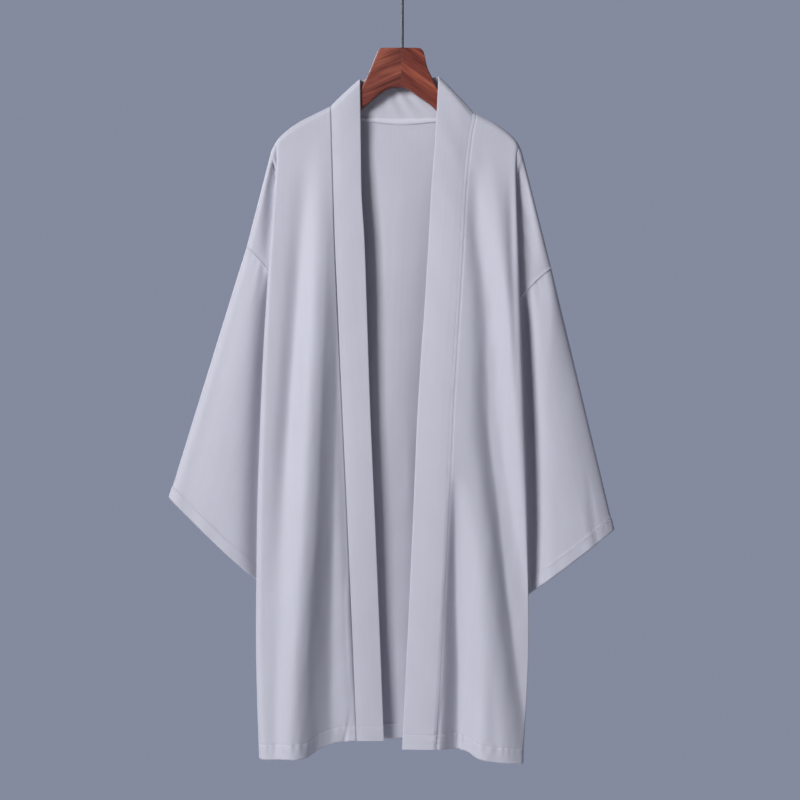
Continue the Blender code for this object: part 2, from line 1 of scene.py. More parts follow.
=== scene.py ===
"""The look of the hanging hanfu jacket: fine cloth, sewing, wood and wire on the jacket's frame.

Metres, +Z up, X to the viewer's right, Y away from the viewer. Right and left are the wearer's.
"""

import math
from collections import namedtuple

import bmesh
import bpy
import numpy as np
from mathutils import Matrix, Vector


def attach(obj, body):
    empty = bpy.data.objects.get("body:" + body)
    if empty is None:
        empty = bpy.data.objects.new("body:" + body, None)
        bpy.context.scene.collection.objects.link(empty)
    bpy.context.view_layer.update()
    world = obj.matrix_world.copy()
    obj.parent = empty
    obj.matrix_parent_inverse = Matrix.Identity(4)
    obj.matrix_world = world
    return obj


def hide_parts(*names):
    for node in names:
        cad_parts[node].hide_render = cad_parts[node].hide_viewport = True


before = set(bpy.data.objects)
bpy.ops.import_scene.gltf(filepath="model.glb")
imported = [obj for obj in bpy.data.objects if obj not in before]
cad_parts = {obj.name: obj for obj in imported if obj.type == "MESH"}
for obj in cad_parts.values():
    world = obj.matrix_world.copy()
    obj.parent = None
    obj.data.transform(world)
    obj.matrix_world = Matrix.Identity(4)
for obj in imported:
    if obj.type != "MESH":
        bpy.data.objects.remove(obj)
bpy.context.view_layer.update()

# Cloth
CLOTH = 0.0008
BAND_CLOTH = 0.0016
RIDGE_HALF_GAP = 0.00042
SIDE_HALF_GAP = 0.0001
RIDGE_RADIUS = 0.0085
SLEEVE_EDGE_SHARE = 0.06
SLEEVE_EDGE_EASE = (0.05, 0.45)
ARMHOLE_DEPTH = 0.0065
UNDERARM = 0.195
UNDERARM_CLEARANCE = 0.0035
UNDERARM_EASE_POWER = 8
CAP_BEND_LIMIT = 0.4
SLEEVE_START = 0.0004
EDGE_HEM_LIFT = 0.001
SIDE_HEM_LIFT = 0.019
BAND_FOLLOWS_SEAM = 0.9
SLOPE_SOFTNESS = 0.12
SOFT_MAX_BLEND = 0.0016
TURN_CLEARANCE = 0.0018
TURN_CLEARANCE_EASE = 0.02
TURN_CLEARANCE_DROP = (0.42, 0.55)
SLEEVE_SINK = -0.0055
CAP_SINK = -0.003
CAP_BACK_SHARE = 0.1
BAND_CROWN = 0.0006
BAND_SEAM_GAP = 0.00002
BACK_EDGE_INSET = 0.003
BACK_INSET_DROP = 0.06
GUIDE_LEAVE = 0.06

# Back neck
BAND_NECK_DEPTH = 0.0115
BAND_NECK_POWER = 0.35
SHOULDER_RISE_TO_NECK = 0.45
BACK_HEM_Z = -1.100

# Sewing and the neck tape
HEM_TURN_UP = 0.020
CUFF_TURN_UP = 0.018
TOPSTITCH_OUT = 0.0058
STITCH_PITCH = 0.0034
STITCH_LENGTH = 0.0025
THREAD_RADIUS = 0.00030
INNER_STITCH_DROP = 0.0015
TURN_UP_GAP = 1.16
TURN_UP_ROOM = 0.6
TURN_UP_DROP = 0.35
TAPE_CLOTH = 0.0005
TAPE_ENDS = (0.05, 0.95)
TAPE_ABOVE_SEAM = 0.12
TAPE_LIFT = 0.0008
TAPE_LIFT_END = 0.3
TAPE_CROWN = 0.0013
TAPE_CROWN_POWER = 0.7
TAPE_THREAD_LIFT = 0.00028
FORWARD = (0.0, -1.0, 0.0)

# Hanger
HANGER_HALF_THICKNESS = 0.0065
HANGER_END_THINNING = 0.0004
ARM_CLEARANCE = 0.0021
ARM_END_HEIGHT_SHARE = 0.68
ARM_END_LEAD = 0.006
ARM_END_SLOPE = 0.6
JOINT_HALF_GAP = 0.00001
JOINT_BEVEL = 0.0002
WIRE_RADIUS = 0.00175
HOOK_RADIUS = 0.0195
SHANK_TOP_Z = -0.064
HEAD_TOP_Z = -0.130
SHANK_IN_WOOD = 0.004
HOOK_START_DEGREES = -38
HOOK_END_DEGREES = 212
HOOK_SWEEP_LIFT_SHARE = 0.6
HOOK_SWEEP_REACH = 0.016
HOOK_TIP_LEAST = 0.08

# Camera, floor and sky
CAMERA_X = -0.0035
CAMERA_Z = -0.6238
CAMERA_DISTANCE = 3.2
FRAME_WIDTH = 1.116
FRONT_DEPTH = 0.018
FLOOR_Z = -2.1
FLOOR_REACH = 2.6
FLOOR_CORNERS = 128
SKY_TURN = (-0.2, 0.75)
SKY_BEFORE = (0.086, 0.092, 0.110, 1)
SKY_BEHIND = (0.232, 0.256, 0.345, 1)

# How often the grain of cloth and wood repeats in a metre
CREPE_GRAIN = 950
CLOUD_GRAIN = 14
WARP_GRAIN = (1300, 34, 0)
WEFT_GRAIN = (30, 1250, 0)
SLUB_GRAIN = (240, 2.6, 0)
FIGURE_GRAIN = (7, 55, 75)
FIBRE_GRAIN = (38, 700, 900)
PORE_GRAIN = (70, 1500, 1900)

# How finely the pieces are divided
Columns = namedtuple("Columns", "face crowding edge turn crease cap")
COLUMNS = {-1: Columns(70, 1.3, 8, 16, 5, 28), 1: Columns(34, 1, 6, 12, 5, 12)}
NECK_COLUMNS = 48
NECK_CROWDING = 0.75
RIDGE_ROWS = 10
RIDGE_ROWS_SHARE = 0.0105
PANEL_ROWS = 120
HEM_ROWS = 30
HEM_ROWS_SHARE = 0.034
BAND_COLUMNS = 14
SLEEVE_SIDE_COLUMNS = 52
SLEEVE_SIDE_CROWDING = 0.7
SLEEVE_ROWS = 88
SLEEVE_ROWS_CROWDING = 1.4
CUFF_ROWS = 24
CUFF_ROWS_SHARE = 0.075
TAPE_COLUMNS = 90
TAPE_ROWS = 9
JOINT_ROWS = 4
ARM_ROWS = 22
ARM_END_ROWS = 9
BOARD_ROWS = 110
BOARD_CORNER_STEPS = 6
FLAT_LENGTH = 0.004
FLAT_SHARES = (0.1, 0.9)
HOOK_ARC_STEPS = 64
HOOK_SWEEP_STEPS = 20
HOOK_TIP_STEPS = 6
HOOK_ROUND_STEPS = 5
LEAST_LENGTH = 1e-12

Level = namedtuple("Level", "z seam edge side band_edge")
Depth = namedtuple("Depth", "z front turn cap back")
Out = namedtuple("Out", "out z")
Armhole = namedtuple("Armhole", "share crease seam")
FoldAt = namedtuple("FoldAt", "z out width height outer", defaults=(1,))
Slit = namedtuple("Slit", "z depth")
Crease = namedtuple("Crease", "along share width height outer", defaults=(1,))
Sleeve = namedtuple("Sleeve", "along depth")
Neck = namedtuple("Neck", "x z")
Tape = namedtuple("Tape", "x width")
Board = namedtuple("Board", "out top bottom round")
ArmEnd = namedtuple("ArmEnd", "inward trim round_share")
Proud = namedtuple("Proud", "top below start end")
Dip = namedtuple("Dip", "depth width")
Drift = namedtuple("Drift", "height pitch wander")
Slack = namedtuple("Slack", "height slant width lean length")
Ripple = namedtuple("Ripple", "height pitch reach")
Wave = namedtuple("Wave", "height pitch start")
Thread = namedtuple("Thread", "place rise thick")
Cut = namedtuple(
    "Cut",
    "name sign levels shoulder tops hem armhole folds falls slit cap_folds sleeve_front sleeve_back"
    " cuff_tip cuff_end cuff_bow sleeve_edge band_top band_proud seam_dip board arm_end",
)
Tops = namedtuple("Tops", "seam edge_front edge_behind crease_front crease_behind side")


def table(kind, *rows):
    """Rows of a table, with their columns named."""
    return [kind(*row) for row in rows]


# Dip of a sleeve just below its armhole seam
ARMHOLE_DIP = Dip(0.0019, 0.0017)

# Slight unevenness of the cloth, and the puckers and dips beside its sewing
WAVE_DRIFTS = (Drift(1.7, 0.137, 1), Drift(0.9, 0.291, 2))
WAVE_SWELL = Wave(0.38, 0.083, 1.3)
SLOW_SLACK = Slack(0.00042, 0.23, 0.067, 0.3, 0.171)
QUICK_SLACK = Slack(0.00014, -0.15, 0.029, 0, 0.113)
HEM_WAVE = Ripple(0.0010, 0.041, 0.016)
HEM_PUCKER = Ripple(0.00060, 0.0115, 0.007)
HEM_PUCKER_SHARE = 0.85
HEM_LINE = Dip(0.00050, 0.0013)
HEM_FINE_RISE = Ripple(0.0004, 0.0145, 0.012)
HEM_SLOW_RISE = Ripple(0.0005, 0.037, 0.012)
SIDE_SEAM_DIP = Dip(0.00012, 0.0018)
SEAM_PUCKER = Ripple(0.00042, 0.0165, 0.0055)
SEAM_PUCKER_OUT = 0.005
TOPSTITCH_DIP = Dip(0.00045, 0.0012)
TOPSTITCH_PUCKER = Ripple(0.00030, 0.0098, 0.004)
ARMHOLE_PUCKER = Ripple(0.0005, 0.012, 0.008)
ARMHOLE_PUCKER_DROP = 0.006
BELOW_RIDGE = (0.01, 0.08)
SEAM_EASE = (0, 0.05)
SLEEVE_THIN = 0.004

# Where the waves of each panel start, by half for the fronts and the sleeves
FRONT_WANDER = {-1: 0.4, 1: 2.1}
SLEEVE_WANDER = {-1: 1.2, 1: 3.7}
BACK_WANDER = 4.6
BACK_HEM_WANDER = 5.2
TOPSTITCH_WANDER = 3.3

# Fullness of the band from its seam to its fold, and its waves, puckers and wrinkles
BAND_SEAM_FULLNESS = 0.48
BAND_FOLD_SHARE = 0.03
BAND_SWELL = (-0.05, 0.30)
BAND_WAVE = Wave(0.00040, 0.088, 0.7)
BAND_WAVE_SLANT = 0.02
BAND_PUCKER = Wave(0.00030, 0.0155, 1.9)
BAND_PUCKER_AT = (0.06, 0.12)
BAND_GATHER = Wave(0.0008, 0.0092, 0.3)
BAND_GATHER_AT = (0.15, 0.25)
BAND_GATHER_REACH = 0.02
BAND_HEM_LINE = Dip(0.0003, 0.0013)
NECK_WRINKLE = Ripple(0.0014, 0.021, 0.022)
NECK_WRINKLE_SLANT = 0.6
TAPE_PUCKER = Wave(0.00018, 0.0075, 0.9)

# One stitch: place along it, rise out of the cloth and thickness, as shares of its length and radius
THREAD = table(Thread, (-0.5, -0.6, 0.55), (-0.28, 0.5, 1), (0, 0.75, 1), (0.28, 0.5, 1), (0.5, -0.6, 0.55))
THREAD_SIDES = ((1, 0), (0, 1), (-1, 0), (0, -1))

# How far the cloth stands from the hanger's plane, level by level
DEPTHS = table(
    Depth, (-0.2, 0.0085, 0.0085, 0.008, 0.0085), (-0.26, 0.0095, 0.009, 0.0082, 0.0095),
    (-0.33, 0.015, 0.0105, 0.0076, 0.014), (-0.4, 0.02, 0.012, 0.0066, 0.0195),
    (-0.49, 0.025, 0.0132, 0.0063, 0.0245), (-0.62, 0.03, 0.0138, 0.0065, 0.0285),
    (-0.8, 0.033, 0.0145, 0.0065, 0.0305), (-1.13, 0.036, 0.015, 0.0065, 0.031),
)

# Half thickness of the hanging sleeve, from armhole to cuff
SLEEVE_DEPTHS = (Sleeve(0, ARMHOLE_DEPTH), Sleeve(0.25, 0.0085), Sleeve(1, 0.0095))

# Rounded end of a hanger arm, section by section
ARM_END = (ArmEnd(0.0050, 0.0005, 1), ArmEnd(0.0015, 0.0030, 1), ArmEnd(0, 0.0060, 0.6))

# Back neck seam, from the right shoulder to the left
NECK_SEAM = table(
    Neck, (-0.1001, -0.2119), (-0.094, -0.2175), (-0.08, -0.2225), (-0.045, -0.2268), (0, -0.2285),
    (0.045, -0.2275), (0.078, -0.2262), (0.093, -0.224), (0.0987, -0.2203),
)

# Width of the seam tape inside the back neck
NECK_TAPE = table(Tape, (-0.09, 0.0045), (-0.045, 0.0062), (0, 0.0085), (0.045, 0.006), (0.088, 0.0045))

# The two halves. The columns of their folds are those of FoldAt, on the sleeves those of Crease
RIGHT = Cut(
    name="right",
    sign=-1,
    levels=table(
        Level, (-0.17, 0.1012, 0.164, 0.1165, 0.0595), (-0.26, 0.0987, 0.1718, 0.1165, 0.0583),
        (-0.33, 0.0966, 0.1783, 0.1165, 0.0572), (-0.4, 0.0944, 0.1838, 0.1165, 0.053),
        (-0.49, 0.0905, 0.19, 0.1165, 0.0498), (-0.546, 0.0881, 0.1932, 0.1165, 0.048),
        (-0.62, 0.0848, 0.1966, 0.1085, 0.0456), (-0.8, 0.0767, 0.2023, 0.1085, 0.0379),
        (-0.95, 0.0704, 0.2037, 0.109, 0.0317), (-1.13, 0.0628, 0.1993, 0.109, 0.0248),
    ),
    shoulder=table(
        Out, (0.1001, -0.2119), (0.121, -0.2217), (0.1477, -0.2354), (0.1708, -0.2542), (0.1851, -0.2774),
        (0.1957, -0.3095), (0.2047, -0.3435), (0.2177, -0.4079),
    ),
    tops=Tops(0.1001, 0.1735, 0.1772, 0.1800, 0.1832, 0.2177),
    hem=table(
        Out, (0.026, -1.1009), (0.0805, -1.1009), (0.1015, -1.1051), (0.1127, -1.1079), (0.1351, -1.1205),
        (0.1995, -1.1222),
    ),
    armhole=table(
        Armhole, (0, 0.18, 0.2177), (0.1, 0.1725, 0.2056), (0.25, 0.156, 0.188), (0.6, 0.129, 0.15),
        (1, 0.1165, 0.1165),
    ),
    folds=dict(
        broad_ridge=(
            (-0.26, 0.1141, 0.016, 0), (-0.37, 0.1155, 0.017, 0.0032), (-0.51, 0.1211, 0.018, 0.006),
            (-0.65, 0.1281, 0.018, 0.008), (-0.79, 0.1351, 0.019, 0.0095), (-0.902, 0.1421, 0.02, 0.0105),
            (-1.014, 0.1491, 0.02, 0.011), (-1.13, 0.1547, 0.021, 0.011),
        ),
        dip_at_band_seam=(
            (-0.482, 0.0903, 0.008, 0), (-0.65, 0.0833, 0.009, -0.003), (-0.79, 0.077, 0.009, -0.004),
            (-0.902, 0.0721, 0.009, -0.004), (-1.014, 0.0679, 0.009, -0.0025),
            (-1.13, 0.0623, 0.009, -0.0015),
        ),
        trough_by_edge=(
            (-0.293, 0.1351, 0.012, 0), (-0.37, 0.1407, 0.013, -0.0026), (-0.51, 0.1491, 0.013, -0.0066),
            (-0.65, 0.1589, 0.013, -0.0074), (-0.79, 0.1673, 0.013, -0.0034), (-0.902, 0.1715, 0.013, 0),
        ),
        pucker_by_band=(
            (-0.86, 0.0775, 0.0028, 0), (-0.91, 0.0768, 0.003, 0.0011), (-1, 0.0735, 0.003, 0.0008),
            (-1.05, 0.072, 0.003, 0),
        ),
        crease_at_hem=(
            (-1.053, 0.0721, 0.0025, 0), (-1.081, 0.077, 0.0026, -0.0011),
            (-1.115, 0.084, 0.003, -0.0014),
        ),
        faint_ridge_below=(
            (-0.88, 0.182, 0.01, 0), (-1.02, 0.187, 0.01, 0.001), (-1.13, 0.188, 0.01, 0.0013),
        ),
        faint_trough_below=(
            (-0.92, 0.172, 0.007, 0), (-1.05, 0.1745, 0.007, -0.0009), (-1.13, 0.175, 0.008, -0.0012),
        ),
    ),
    falls=dict(
        fall_to_band=(
            (-0.342, 0.0959, 0.007, 0), (-0.51, 0.0994, 0.009, -0.008), (-0.65, 0.1036, 0.01, -0.014),
            (-0.79, 0.1078, 0.011, -0.018), (-0.902, 0.1135, 0.013, -0.0225),
            (-1.014, 0.1165, 0.016, -0.0255), (-1.13, 0.118, 0.0175, -0.0265),
        ),
    ),
    slit=table(Slit, (-0.262, 0), (-0.29, 0.0045), (-0.31, 0.0035), (-0.345, 0.001), (-0.4, 0)),
    cap_folds=dict(
        groove=(
            (-0.258, 0.1771, 0.004, 0), (-0.286, 0.1785, 0.0055, -0.003),
            (-0.321, 0.1806, 0.007, -0.0085), (-0.363, 0.1827, 0.008, -0.0105),
            (-0.398, 0.1862, 0.008, -0.01), (-0.429, 0.1897, 0.008, -0.006), (-0.461, 0.1925, 0.008, 0),
        ),
        slit_fold=(
            (-0.272, 0.1785, 0.0016, 0), (-0.284, 0.1792, 0.0021, -0.01), (-0.306, 0.1795, 0.0022, -0.01),
            (-0.32, 0.1798, 0.0022, -0.003), (-0.335, 0.18, 0.0022, 0),
        ),
        strip=(
            (-0.33, 0.1815, 0.0024, 0), (-0.37, 0.183, 0.0026, 0.0012), (-0.41, 0.185, 0.003, 0.001),
            (-0.44, 0.187, 0.003, 0),
        ),
    ),
    sleeve_front=dict(
        drop_by_body=(
            (0, 0.3, 0.06, -0.002), (0.05, 0.325, 0.075, -0.0085), (0.2, 0.4, 0.11, -0.0145),
            (0.5, 0.512, 0.11, -0.0175), (0.67, 0.563, 0.106, -0.0175), (0.83, 0.613, 0.101, -0.0175),
            (1, 0.665, 0.096, -0.0165),
        ),
        outer_fall=((0, 0.02, 0.06, -0.001), (0.3, 0.03, 0.12, -0.0028), (1, 0.035, 0.14, -0.0034)),
        lean=(
            (0, 0.2, 0.15, 0), (0.2, 0.24, 0.18, 0.002), (0.5, 0.3, 0.22, 0.0032),
            (1, 0.42, 0.26, 0.0036),
        ),
        gather_one=((0, 0.155, 0.016, 0.0011), (0.07, 0.165, 0.018, 0.0008), (0.2, 0.19, 0.022, 0)),
        gather_two=((0, 0.205, 0.013, -0.0012), (0.06, 0.215, 0.016, -0.0007), (0.15, 0.235, 0.02, 0)),
        gather_three=((0, 0.25, 0.014, 0.0009), (0.05, 0.262, 0.016, 0.0006), (0.13, 0.285, 0.02, 0)),
    ),
    sleeve_back=dict(
        long_hollow=((0, 0.35, 0.06, 0), (0.4, 0.42, 0.09, -0.0018), (1, 0.5, 0.1, -0.0026)),
        outer_ridge=((0.1, 0.15, 0.05, 0), (0.5, 0.22, 0.07, 0.0016), (1, 0.26, 0.08, 0.0022)),
        gather=((0, 0.18, 0.016, 0.001), (0.14, 0.21, 0.02, 0)),
    ),
    cuff_tip=Out(0.3269, -0.7607),
    cuff_end=Out(0.1270, -0.9420),
    cuff_bow=0.004,
    sleeve_edge=0.06,
    band_top=Out(0.0595, -0.1740),
    band_proud=Proud(0.001, -0.004, 0.45, 0.85),
    seam_dip=Dip(0.0016, 0.0011),
    board=table(
        Board, (0.002, -0.13, -0.1853, 0.003), (0.012, -0.13, -0.1859, 0.003),
        (0.022, -0.13, -0.1886, 0.003), (0.03, -0.1303, -0.1935, 0.003),
        (0.0334, -0.1335, -0.1962, 0.003), (0.0413, -0.1514, -0.2028, 0.003),
        (0.0497, -0.1709, -0.2098, 0.0035), (0.0578, -0.1838, -0.2165, 0.005),
        (0.078, -0.2, -0.231, 0.0055),
    ),
    arm_end=0.1690,
)

LEFT = Cut(
    name="left",
    sign=1,
    levels=table(
        Level, (-0.17, 0.102, 0.15, 0.0915, 0.0504), (-0.26, 0.091, 0.1562, 0.0915, 0.0456),
        (-0.33, 0.0843, 0.1587, 0.0915, 0.0402), (-0.4, 0.0803, 0.161, 0.0915, 0.0364),
        (-0.49, 0.0748, 0.164, 0.0915, 0.0309), (-0.571, 0.0697, 0.1668, 0.0915, 0.0252),
        (-0.64, 0.0656, 0.1692, 0.084, 0.0209), (-0.8, 0.0587, 0.1738, 0.083, 0.0141),
        (-0.95, 0.0513, 0.1758, 0.082, 0.0072), (-1.13, 0.0416, 0.168, 0.08, -0.0017),
    ),
    shoulder=table(
        Out, (0.0987, -0.2203), (0.116, -0.2283), (0.1323, -0.2371), (0.1575, -0.2581), (0.1687, -0.2791),
        (0.1785, -0.3141), (0.1925, -0.3799), (0.2079, -0.4373),
    ),
    tops=Tops(0.0987, 0.1580, 0.1614, 0.1640, 0.1670, 0.2079),
    hem=table(
        Out, (-0.001, -1.1093), (0.06, -1.1093), (0.086, -1.112), (0.1085, -1.1233), (0.168, -1.1303),
    ),
    armhole=table(
        Armhole, (0, 0.164, 0.2079), (0.1, 0.156, 0.1925), (0.25, 0.135, 0.1725), (0.6, 0.105, 0.1325),
        (1, 0.0915, 0.0915),
    ),
    folds=dict(
        slanting_trough=(
            (-0.293, 0.1001, 0.01, 0, 1), (-0.37, 0.1029, 0.011, -0.0048, 1.2),
            (-0.51, 0.1183, 0.015, -0.01, 1.5), (-0.65, 0.1239, 0.017, -0.0155, 2),
            (-0.79, 0.1414, 0.018, -0.019, 2.2), (-0.902, 0.156, 0.0205, -0.0215, 2.4),
            (-1.014, 0.171, 0.0235, -0.022, 2.4), (-1.084, 0.18, 0.026, -0.0185, 2),
            (-1.13, 0.184, 0.027, -0.016, 2),
        ),
        ridge_by_edge=(
            (-0.272, 0.1253, 0.012, 0), (-0.37, 0.1351, 0.013, 0.003), (-0.51, 0.1491, 0.013, 0.0046),
            (-0.65, 0.1582, 0.013, 0.0046), (-0.79, 0.1659, 0.012, 0.003), (-0.93, 0.1813, 0.012, 0),
        ),
        trough_by_band=(
            (-0.72, 0.0735, 0.007, 0, 1.5), (-0.79, 0.0742, 0.0085, -0.0075, 2),
            (-0.902, 0.0755, 0.0125, -0.0165, 2.4), (-1.014, 0.079, 0.0165, -0.023, 2.1),
            (-1.084, 0.0785, 0.018, -0.025, 1.9), (-1.13, 0.0785, 0.0185, -0.0255, 1.8),
        ),
        crease_at_hem=(
            (-1.028, 0.0553, 0.0025, 0), (-1.063, 0.0518, 0.0026, -0.001),
            (-1.112, 0.0469, 0.003, -0.0012),
        ),
        broad_ridge=(
            (-0.818, 0.1029, 0.018, 0), (-0.958, 0.104, 0.021, 0.0065), (-1.13, 0.103, 0.022, 0.009),
        ),
        trough_at_edge=(
            (-0.3, 0.15, 0.005, 0), (-0.42, 0.152, 0.006, -0.002), (-0.58, 0.159, 0.006, -0.0014),
            (-0.68, 0.165, 0.006, 0),
        ),
        faint_trough_below=(
            (-0.98, 0.125, 0.008, 0), (-1.06, 0.126, 0.009, -0.0008), (-1.13, 0.127, 0.01, -0.0012),
        ),
    ),
    falls=dict(),
    slit=table(Slit, (-0.262, 0), (-0.3, 0.0015), (-0.34, 0.005), (-0.42, 0.004), (-0.48, 0)),
    cap_folds=dict(
        groove=(
            (-0.267, 0.1631, 0.004, 0), (-0.303, 0.168, 0.0055, -0.002),
            (-0.349, 0.1729, 0.0075, -0.0042), (-0.4, 0.1785, 0.0085, -0.005),
            (-0.45, 0.1827, 0.0085, -0.0035), (-0.481, 0.1855, 0.0085, 0),
        ),
        slit_fold=(
            (-0.262, 0.1572, 0.002, 0), (-0.29, 0.159, 0.003, -0.003), (-0.335, 0.1607, 0.0036, -0.008),
            (-0.4, 0.164, 0.0036, -0.007), (-0.46, 0.167, 0.0036, -0.0025), (-0.5, 0.169, 0.0036, 0),
        ),
    ),
    sleeve_front=dict(
        drop_by_body=(
            (0, 0.3, 0.05, -0.0015), (0.04, 0.31, 0.06, -0.007), (0.12, 0.332, 0.075, -0.0122),
            (0.42, 0.428, 0.085, -0.0145), (0.76, 0.508, 0.08, -0.0145), (1, 0.558, 0.075, -0.013),
        ),
        roundness=(
            (0, 0.1, 0.2, 0), (0.12, 0.07, 0.24, 0.0046), (0.3, 0.09, 0.26, 0.0062),
            (0.65, 0.15, 0.26, 0.0066), (1, 0.17, 0.26, 0.0058),
        ),
        cuff_crease_one=((0.72, 0.08, 0.016, 0), (0.86, 0.1, 0.018, -0.0014), (1, 0.115, 0.02, -0.0018)),
        cuff_crease_two=((0.8, 0.15, 0.016, 0), (0.9, 0.16, 0.018, 0.001), (1, 0.17, 0.02, 0.0014)),
        gather=((0, 0.165, 0.014, 0.0009), (0.05, 0.175, 0.016, 0.0006), (0.14, 0.2, 0.02, 0)),
    ),
    sleeve_back=dict(
        long_hollow=((0, 0.33, 0.06, 0), (0.4, 0.4, 0.09, -0.0016), (1, 0.47, 0.1, -0.0024)),
        outer_ridge=((0.1, 0.14, 0.05, 0), (0.5, 0.2, 0.07, 0.0014), (1, 0.25, 0.08, 0.002)),
        gather=((0, 0.19, 0.016, 0.001), (0.14, 0.22, 0.02, 0)),
    ),
    cuff_tip=Out(0.2961, -0.8055),
    cuff_end=Out(0.0895, -0.9612),
    cuff_bow=0.001,
    sleeve_edge=0.28,
    band_top=Out(0.0504, -0.1700),
    band_proud=Proud(0.001, -0.005, 0.08, 0.26),
    seam_dip=Dip(0.0002, 0.0018),
    board=table(
        Board, (-0.002, -0.13, -0.1853, 0.003), (0.006, -0.13, -0.1872, 0.003),
        (0.012, -0.13, -0.1908, 0.003), (0.0235, -0.1304, -0.199, 0.003),
        (0.029, -0.1345, -0.2027, 0.003), (0.0347, -0.1572, -0.2065, 0.003),
        (0.0412, -0.171, -0.2118, 0.0035), (0.0484, -0.1853, -0.2188, 0.005),
        (0.074, -0.207, -0.237, 0.0055),
    ),
    arm_end=0.1555,
)

# Soft folds of the back, at places across it
BACK_FOLDS = dict(
    ridge_right=((-0.32, -0.09, 0.022, 0), (-0.7, -0.105, 0.024, 0.005), (-1.13, -0.12, 0.026, 0.0085)),
    trough_right=(
        (-0.45, -0.045, 0.014, 0), (-0.8, -0.056, 0.016, -0.005), (-1.13, -0.065, 0.018, -0.009),
    ),
    ridge_left=((-0.5, 0.035, 0.02, 0), (-0.85, 0.045, 0.022, 0.004), (-1.13, 0.05, 0.024, 0.007)),
    trough_left=((-0.4, 0.085, 0.012, 0), (-0.8, 0.1, 0.014, -0.005), (-1.13, 0.112, 0.016, -0.008)),
    small_crease_one=(
        (-0.66, 0.009, 0.004, 0), (-0.72, 0.011, 0.0045, -0.0012), (-0.79, 0.014, 0.005, 0),
    ),
    small_crease_two=((-0.69, 0.017, 0.004, 0), (-0.75, 0.019, 0.0045, 0.001), (-0.82, 0.021, 0.005, 0)),
    drag_right=((-0.27, -0.118, 0.009, 0), (-0.42, -0.13, 0.01, -0.0022), (-0.6, -0.145, 0.011, 0)),
    drag_left=((-0.28, 0.108, 0.009, 0), (-0.44, 0.118, 0.01, -0.0024), (-0.62, 0.13, 0.011, 0)),
    faint_ridge_middle=(
        (-0.6, -0.01, 0.012, 0), (-0.9, -0.012, 0.013, 0.0016), (-1.13, -0.014, 0.014, 0.003),
    ),
    slack_middle=(
        (-0.24, -0.005, 0.075, 0), (-0.3, -0.005, 0.078, -0.0075), (-0.37, -0.006, 0.08, -0.015),
        (-0.45, -0.01, 0.082, -0.0215), (-0.62, -0.02, 0.083, -0.026), (-0.79, -0.028, 0.083, -0.024),
        (-0.92, -0.032, 0.083, -0.022), (-1.13, -0.035, 0.083, -0.0205),
    ),
)


def row_line(rows, key, column):
    """A curve through one column of a table that is smooth and never overshoots its rows."""
    rows = sorted(rows, key=lambda row: getattr(row, key))
    places = np.array([getattr(row, key) for row in rows], float)
    values = np.array([getattr(row, column) for row in rows], float)
    rises = np.diff(values) / np.diff(places)
    same_way = rises[:-1] * rises[1:] > 0
    total = np.where(same_way, rises[:-1] + rises[1:], 1)
    middle = np.where(same_way, 2 * rises[:-1] * rises[1:] / total, 0)
    slopes = np.concatenate([rises[:1], middle, rises[-1:]])

    def line(where):
        where = np.clip(where, places[0], places[-1])
        i = np.clip(np.searchsorted(places, where, "right") - 1, 0, len(places) - 2)
        span = places[i + 1] - places[i]
        u = (where - places[i]) / span
        start = values[i] * (1 + 2 * u) * (1 - u) ** 2 + slopes[i] * span * u * (1 - u) ** 2
        end = values[i + 1] * (3 - 2 * u) * u**2 + slopes[i + 1] * span * u**2 * (u - 1)
        return start + end

    return line


def mix(first, second, share):
    return first + (second - first) * share


def points_of(x, y, z):
    return np.stack(np.broadcast_arrays(x, y, z), -1)


def length_of(vectors):
    return np.linalg.norm(vectors, axis=-1, keepdims=True)


def soft_step(value, start, end):
    share = np.clip((value - start) / (end - start), 0, 1)
    return share**2 * (3 - 2 * share)


def bump_at(value, place, width):
    return np.exp(-(((value - place) / width) ** 2))


def soft_max(first, second):
    return (first + second + np.sqrt((first - second) ** 2 + SOFT_MAX_BLEND**2)) / 2


def slope_at(value, place, width):
    """Share of a straight slope with soft ends: none on the outer side of its place, all on the inner."""
    inner = (place - value) / width
    near = np.sqrt((inner + 1) ** 2 + SLOPE_SOFTNESS)
    far = np.sqrt((inner - 1) ** 2 + SLOPE_SOFTNESS)
    return 0.5 + (near - far) / 4


def uneven_wave(place, pitch, wander=0.0):
    """A ripple whose pitch and height drift along a seam, between -1 and 1."""
    turns = 2 * math.pi * place / pitch
    drift = sum(d.height * np.sin(turns * d.pitch + d.wander * wander) for d in WAVE_DRIFTS)
    swell = np.sin(turns * WAVE_SWELL.pitch + WAVE_SWELL.start + wander)
    return np.sin(turns + drift) * (1 - WAVE_SWELL.height + WAVE_SWELL.height * swell)


def wave_along(wave, run):
    return wave.height * uneven_wave(run, wave.pitch, wave.start)


def rippled(ripple, run, wander, beside, place=0):
    """A ripple along a run that fades to both sides of a place beside it."""
    return ripple.height * uneven_wave(run, ripple.pitch, wander) * bump_at(beside, place, ripple.reach)


def pressed(dip, beside, place=0):
    return dip.depth * bump_at(beside, place, dip.width)


def crowded(count, crowding):
    """Shares from 0 to 1, closer together towards both ends."""
    even = np.linspace(0, 1, count + 1)
    return mix(even, (1 - np.cos(math.pi * even)) / 2, crowding)


def round_over(drop, radius):
    """Share of the full depth that a rounded ridge has reached this far below its top."""
    share = np.clip(drop / radius, 0, 1)
    return np.sqrt(1 - (1 - share) ** 2)


def ridge_depth(depth, drop):
    """Depth of the cloth this far below the rounded ridge at its top."""
    return np.maximum(depth * round_over(drop, RIDGE_RADIUS), RIDGE_HALF_GAP)


